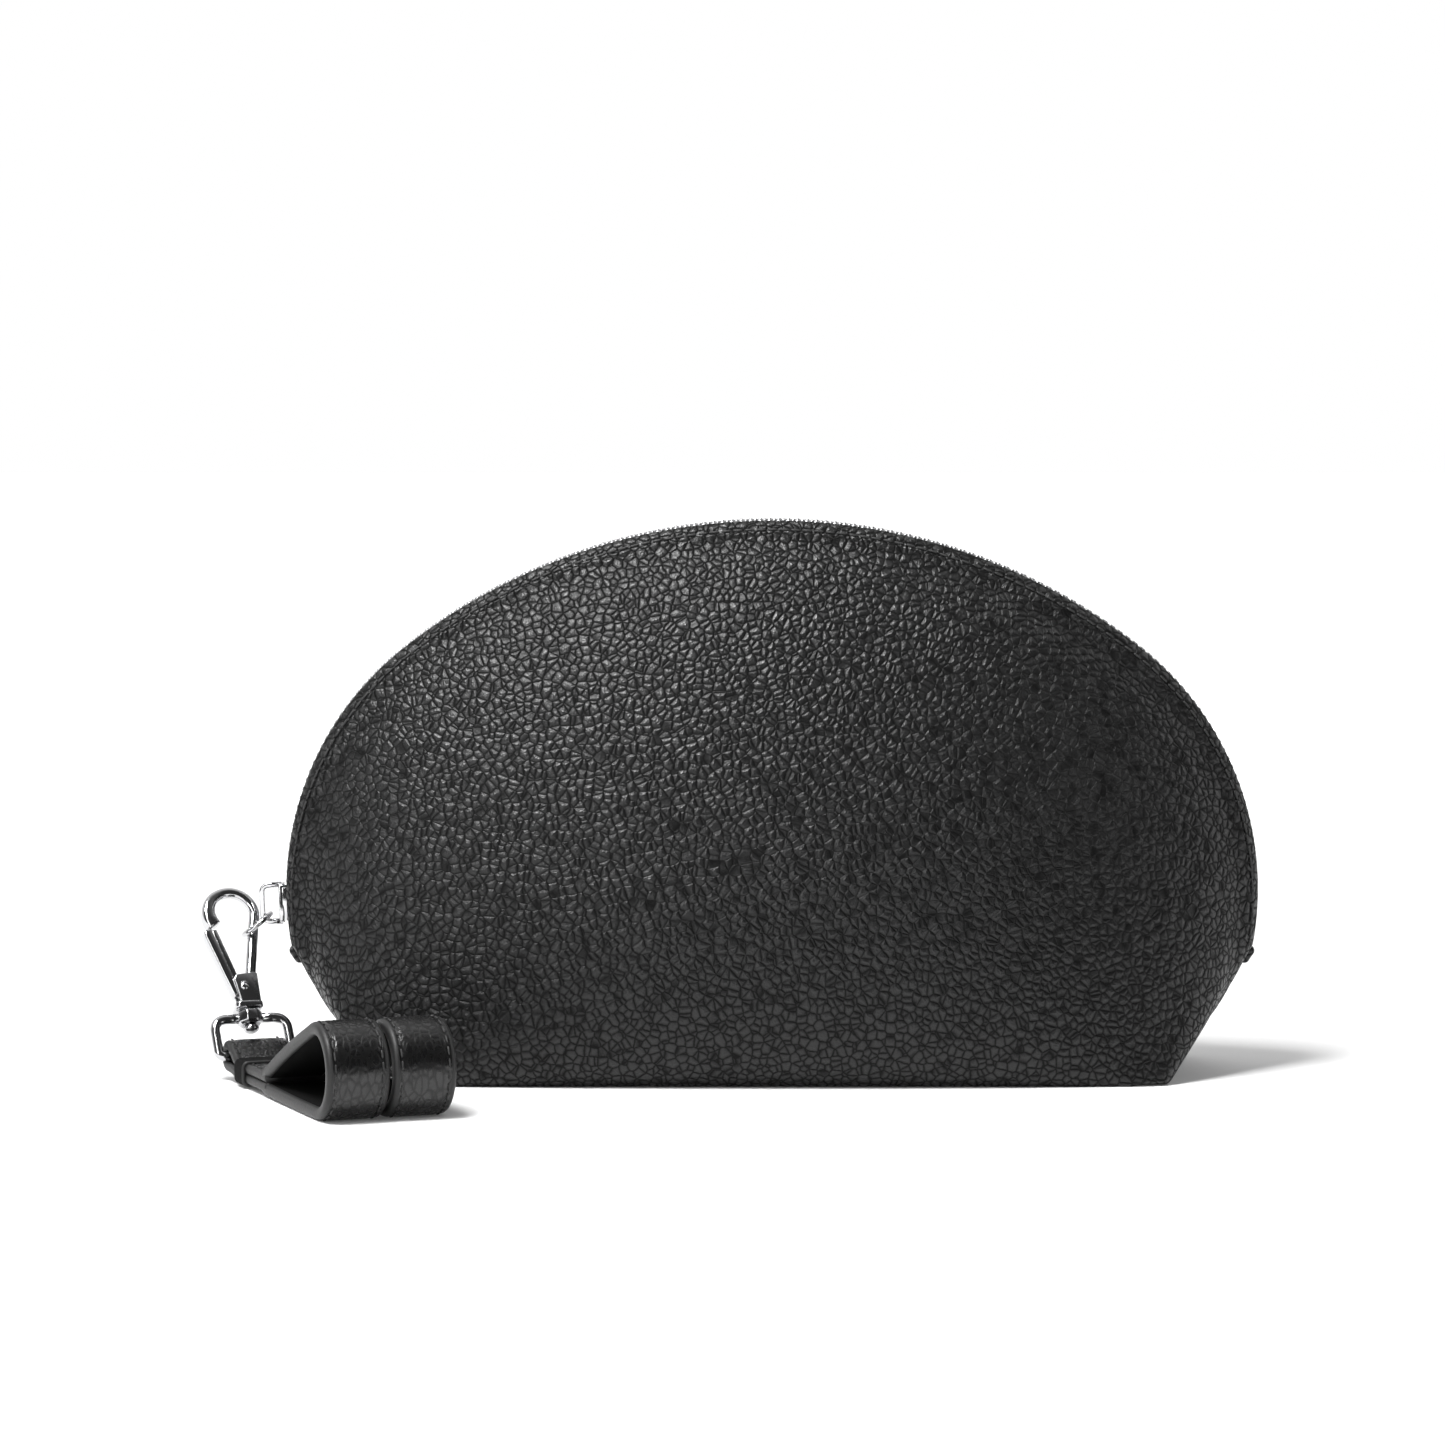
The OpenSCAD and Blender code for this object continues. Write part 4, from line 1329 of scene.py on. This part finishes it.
collar = turned_ring("collar", [(1.42, COLLAR_LOW), (2.35, COLLAR_LOW), (3.0, COLLAR_LOW + 0.6),
                                (3.0, COLLAR_TOP - 0.6), (2.35, COLLAR_TOP), (1.42, COLLAR_TOP)],
                     bright_nickel, 8, math.pi / 8)
round_edges(collar, 0.14 * MM, 2, 20)
collar.data.transform(Matrix.Scale(1 / MM, 4))
WIRE_R = 1.15
SIDE_OFF = 7.3 + WIRE_R
BAR_Z = float(np.dot(BAR - HOOK_FOOT, HOOK_UP)) / MM
SHOULDER = (COLLAR_TOP + COLLAR_LOW) / 2
WIRE_END, TOP_BEND, BAR_BEND = 2.0, 4.4, 1.3
d_path = corner_path([
    ((-WIRE_END, 0, SHOULDER), 0), ((-SIDE_OFF, 0, SHOULDER), TOP_BEND), ((-SIDE_OFF, 0, BAR_Z), BAR_BEND),
    ((SIDE_OFF, 0, BAR_Z), BAR_BEND), ((SIDE_OFF, 0, SHOULDER), TOP_BEND), ((WIRE_END, 0, SHOULDER), 0)], 10)
d_wire = swept("wire", d_path, WIRE_R, bright_nickel, 24)
d_ring = joined("strap_d_ring", d_wire, collar)
placed(d_ring, hook_frame, "dee", "d_ring")
print("D-ring bar at", round(BAR_Z, 2), "mm below the hook's foot")

# %% Stops at the zip's ends
stops = []
for s in (1.4 * MM, ZIP_LEN - 1.4 * MM):
    x, z, angle = (float(c) for c in arch(s))
    out = np.array((math.cos(angle), 0, math.sin(angle)))
    stop = mm_boxes("stop", [((-1.2, side * 1.45 - 0.95, -0.8), (1.2, side * 1.45 + 0.95, 0.8))
                             for side in (-1, 1)], shaded_tooth_nickel, 0.3)
    stop.data.transform(frame_at((x / MM, 0, z / MM), np.cross(out, (0, 1, 0)), out))
    stops.append(stop)
placed(joined("zip_end_stops", *stops), Matrix.Identity(4), "back_half", "zip_stops")

# %% [markdown]
# The strap is two layers of leather glued back to back, stitched along both edges and painted at
# the edges, so a band with rounded edges carries three finishes: grain outside, paint at the
# edges and flesh inside. The tab folds round the D-ring's bar, dips to the ground at the keeper,
# and from there the band opens into two teardrop loops that stand side by side.

# %% Wrist strap
strap_skin = [strap_leather, edge_paint, strap_flesh]
SPLIT, LOOP_END, LOOP_H, STRAP_W, STRAP_T, FAR_X = 29.0, 64.5, 21.0, 14.0, 2.9, 7.8
BAR_LIFT = float(BAR[2]) / MM
PLY = 1.08
DIP = BAR_LIFT - 2 * PLY - 1.2
ACROSS = (1, 0, 0)
SEAM_IN, SEAM_DEEP = 1.75, 0.2


def dip(s):
    t = min(max(s / 9.0, 0), 1)
    return -DIP * t * t * (3 - 2 * t)


def tab_path():
    """Centre line (s, z) of the band: lower ply, fold round the bar, upper ply."""
    fold = 1.35 + PLY
    upper = []
    for s in np.linspace(0, SPLIT + 1.0, 46):
        t = min(s / 8.0, 1)
        gap = fold + (PLY + 0.03 - fold) * t * t * (3 - 2 * t)
        upper.append((s, gap))
    lower = [(s, dip(s) - gap) for s, gap in upper[::-1]]
    bend = [(-fold * math.sin(a), -fold * math.cos(a)) for a in np.linspace(0.12, math.pi - 0.12, 18)]
    return lower + bend + [(s, dip(s) + gap) for s, gap in upper]


def right_edge(s):
    t = min(max((s - 17.5) / 8.5, 0), 1)
    return STRAP_W / 2 + (FAR_X + STRAP_W / 2) * t * t * (3 - 2 * t)


tab_line = tab_path()
edges = [right_edge(s) for s, _ in tab_line]
tab_points = [((e - STRAP_W / 2) / 2, -s, z) for (s, z), e in zip(tab_line, edges)]
tab_half = [(e + STRAP_W / 2) / 2 for e in edges]
tab = ribbon("strap_tab_leather", tab_points, PLY, tab_half, ACROSS, strap_skin, 0.85,
             groove=(SEAM_IN, SEAM_DEEP * 0.7))


def loop_path(grow=0.0):
    """Teardrop (s, z): from its pointed end, round the far end, and back."""
    r = LOOP_H / 2 - STRAP_T / 2 + grow
    centre = (LOOP_END, LOOP_H / 2 - BAR_LIFT)
    made = []
    for side in (1, -1):
        tip = (SPLIT - 1.5, -DIP + side * (STRAP_T / 2 + 0.05))
        away = (tip[0] - centre[0], tip[1] - centre[1])
        far = math.hypot(*away)
        angle = math.atan2(away[1], away[0]) - side * math.acos(r / far)
        touch = (centre[0] + r * math.cos(angle), centre[1] + r * math.sin(angle))
        line = [(tip[0] + (touch[0] - tip[0]) * t, tip[1] + (touch[1] - tip[1]) * t)
                for t in np.linspace(0, 1, 16)]
        slack = 0.55 if side > 0 else 0.55 * 0.3
        sag = [slack * side * math.sin(math.pi * t) for t in np.linspace(0, 1, 16)]
        line = [(s, z + b) for (s, z), b in zip(line, sag)]
        made.append((line, angle))
    (upper, first), (lower, last) = made
    if last > first:
        last -= 2 * math.pi
    arc = [(centre[0] + r * math.cos(a), centre[1] + r * math.sin(a))
           for a in np.linspace(first, last, 44)[1:-1]]
    return upper + arc + lower[::-1]


def loop_points(x, grow=0.0):
    return [(x, -s, z) for s, z in loop_path(grow)]


near_points = loop_points(0.0)
far_points = loop_points(FAR_X + STRAP_W / 2)
near = ribbon("near_wrist_loop", near_points, STRAP_T / 2, STRAP_W / 2, ACROSS, strap_skin, 1.15,
              groove=(SEAM_IN, SEAM_DEEP))
far = ribbon("far_wrist_loop", far_points, STRAP_T / 2, STRAP_W / 2, ACROSS, strap_skin, 1.15,
             groove=(SEAM_IN, SEAM_DEEP))
placed(tab, strap_frame, "strap", "strap_tab")
placed(near, strap_frame, "strap", "near_loop")
placed(far, strap_frame, "strap", "far_loop")
print("strap faces:", [len(piece.data.polygons) for piece in (tab, near, far)])

# %% [markdown]
# The keeper is a narrow band that holds both plies together beside the D-ring.

# %% Keeper
KEEPER_S, KEEPER_W = 8.5, 6.5
hold_w, hold_h = STRAP_W / 2 + 0.25, 2 * PLY + 0.2
keeper_corners = [(-hold_w, -hold_h), (hold_w, -hold_h), (hold_w, hold_h), (-hold_w, hold_h)]
keeper_line = []
for k in range(4):
    before, at, after = (np.array([*keeper_corners[(k + j) % 4]]) for j in (-1, 0, 1))
    arc = round_path([(before + at) / 2, at, (at + after) / 2], 1.6, 6)
    keeper_line += [(p[0], -KEEPER_S - KEEPER_W / 2, p[1] - DIP) for p in arc[:-1]]
keeper = ribbon("keeper_band", keeper_line, 0.5, KEEPER_W / 2, (0, 1, 0), strap_skin, 0.45, closed=True)
placed(keeper, strap_frame, "strap", "strap_keeper")

# %% [markdown]
# Two rows of stitches run along the grain side of every band, 1.75 mm in from the edges, sunk in
# the groove that the thread pulls into the leather.

# %% Stitches along the strap
strap_stitch = capsule("strap_stitch", 2.0 * MM, 0.24 * MM, thread)


def band_seams(name, points, half_thick, half_wide, first, last):
    out = side_vectors(points, ACROSS)
    half_wide = np.broadcast_to(np.array(half_wide, float), (len(points),))
    rows = []
    for side in (-1, 1):
        line = []
        for p, o, w in list(zip(points, out, half_wide))[first:last]:
            at = np.array(p) + o * (half_thick - 0.02) + np.array(ACROSS) * side * (w - SEAM_IN)
            line.append((strap_frame @ Matrix.Scale(MM, 4)) @ Vector(at))
        rows.append(row_along(name + "_row", line, strap_stitch, STITCH_PITCH, thread))
    made = joined(name, *rows)
    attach(made, "strap")
    return made


band_seams("near_loop_stitches", near_points, STRAP_T / 2, STRAP_W / 2, 2, -2)
band_seams("far_loop_stitches", far_points, STRAP_T / 2, STRAP_W / 2, 2, -2)
half_count = len(tab_points) // 2
band_seams("tab_stitches", tab_points, PLY, tab_half, half_count + 8, -6)
bpy.data.objects.remove(strap_stitch)

# %% [markdown]
# The pouch stands on a white sweep in soft light. The sweep is painted light: it glows, faintly
# beside the pouch and brighter further off. The room in front of it is dim, so black leather
# stays black; the sweep behind it is white. The key light hangs high on the left and makes the
# broad sheen on the upper left of the panel. Two tall strips, one at each side, give the metal's
# edges something to mirror.

# %% Floor, light and camera


def studio_floor():
    made = bpy.data.meshes.new("floor")
    made.from_pydata([(-4, -3, 0), (4, -3, 0), (4, 5, 0), (-4, 5, 0)], [], [(0, 1, 2, 3)])
    finish, tree, shader = new_material("glowing_floor_paper", Roughness=0.95, Specular_IOR_Level=0.05,
                                         Emission_Strength=1.0)
    at = place(tree)
    fibres = noise(tree, at, 300, 2.0)
    feed(tree, shader, Base_Color=blend_colours(tree, fibres, grey(0.8), grey(0.83)))
    parts = node(tree, "ShaderNodeSeparateXYZ", inputs={"Vector": at})
    x, y = parts.out("X"), parts.out("Y")
    # Painted light: the floor glows, with emission 0.05 within 0.15 m of the pouch rising to 0.8 beyond 1.1
    # m, so it is white far off and greyer near the pouch.
    far = ((x * x + y * y) ** 0.5).between(0.15, 1.1) * 0.75 + 0.05
    feed(tree, shader, Emission_Color=blend_colours(tree, far, grey(0.0), grey(1.0)))
    made.materials.append(finish)
    laid = bpy.data.objects.new("floor", made)
    bpy.context.scene.collection.objects.link(laid)
    laid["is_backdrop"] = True
    return laid


def softbox(name, at, aim, width, height, power):
    lamp = bpy.data.lights.new(name, "AREA")
    lamp.shape = "RECTANGLE"
    lamp.size = width
    lamp.size_y = height
    lamp.energy = power
    hung = bpy.data.objects.new(name, lamp)
    hung.location = at
    hung.rotation_euler = (Vector(aim) - Vector(at)).to_track_quat("-Z", "Y").to_euler()
    bpy.context.scene.collection.objects.link(hung)
    return hung


def studio_room(front, back):
    """World light by direction: dim towards the camera's side, white behind the object."""
    world = bpy.data.worlds.new("studio")
    world.use_nodes = True
    tree = world.node_tree
    sky = tree.nodes["Background"]
    way = node(tree, "ShaderNodeTexCoord").out("Generated")
    depth = node(tree, "ShaderNodeSeparateXYZ", inputs={"Vector": way}).out("Y")
    level = depth.between(-0.35, 0.45) * (back - front) + front
    colour = node(tree, "ShaderNodeCombineColor", inputs={
        "Red": level, "Green": level, "Blue": level}).out()
    tree.links.new(colour.socket, sky.inputs["Color"])
    bpy.context.scene.world = world


studio_floor()
studio_room(0.045, 1.0)
softbox("key", (-0.34, -0.36, 1.0), (-0.03, 0, 0.08), 0.4, 0.4, 18)
softbox("left_strip", (-0.62, -0.85, 0.55), (0, 0, 0.06), 0.3, 0.8, 4)
softbox("right_strip", (0.75, 0.1, 0.4), (0, 0, 0.06), 0.2, 0.7, 0.8)

LENS, CAMERA_FAR, CAMERA_LEFT = 131.3, 1.2, 0.0112
CAMERA_UP, CAMERA_DOWN = math.radians(8), math.radians(4.25)
camera_data = bpy.data.cameras.new("camera")
camera_data.sensor_width = 36
camera_data.lens = LENS
camera = bpy.data.objects.new("camera", camera_data)
camera.location = (-CAMERA_LEFT, -CAMERA_FAR * math.cos(CAMERA_UP), CAMERA_FAR * math.sin(CAMERA_UP))
camera.rotation_euler = (math.radians(90) - CAMERA_DOWN, 0, 0)
bpy.context.scene.collection.objects.link(camera)
bpy.context.scene.camera = camera
bpy.context.scene.view_settings.view_transform = "Standard"
print("camera at", [round(c, 3) for c in camera.location], "lens", camera_data.lens)

# %% [markdown]
# The looks must not change the design's size, so the visual box is printed.

# %% Print the visual size
low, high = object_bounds()
print("visual:", [round(c / MM, 1) for c in (*low, *high)])
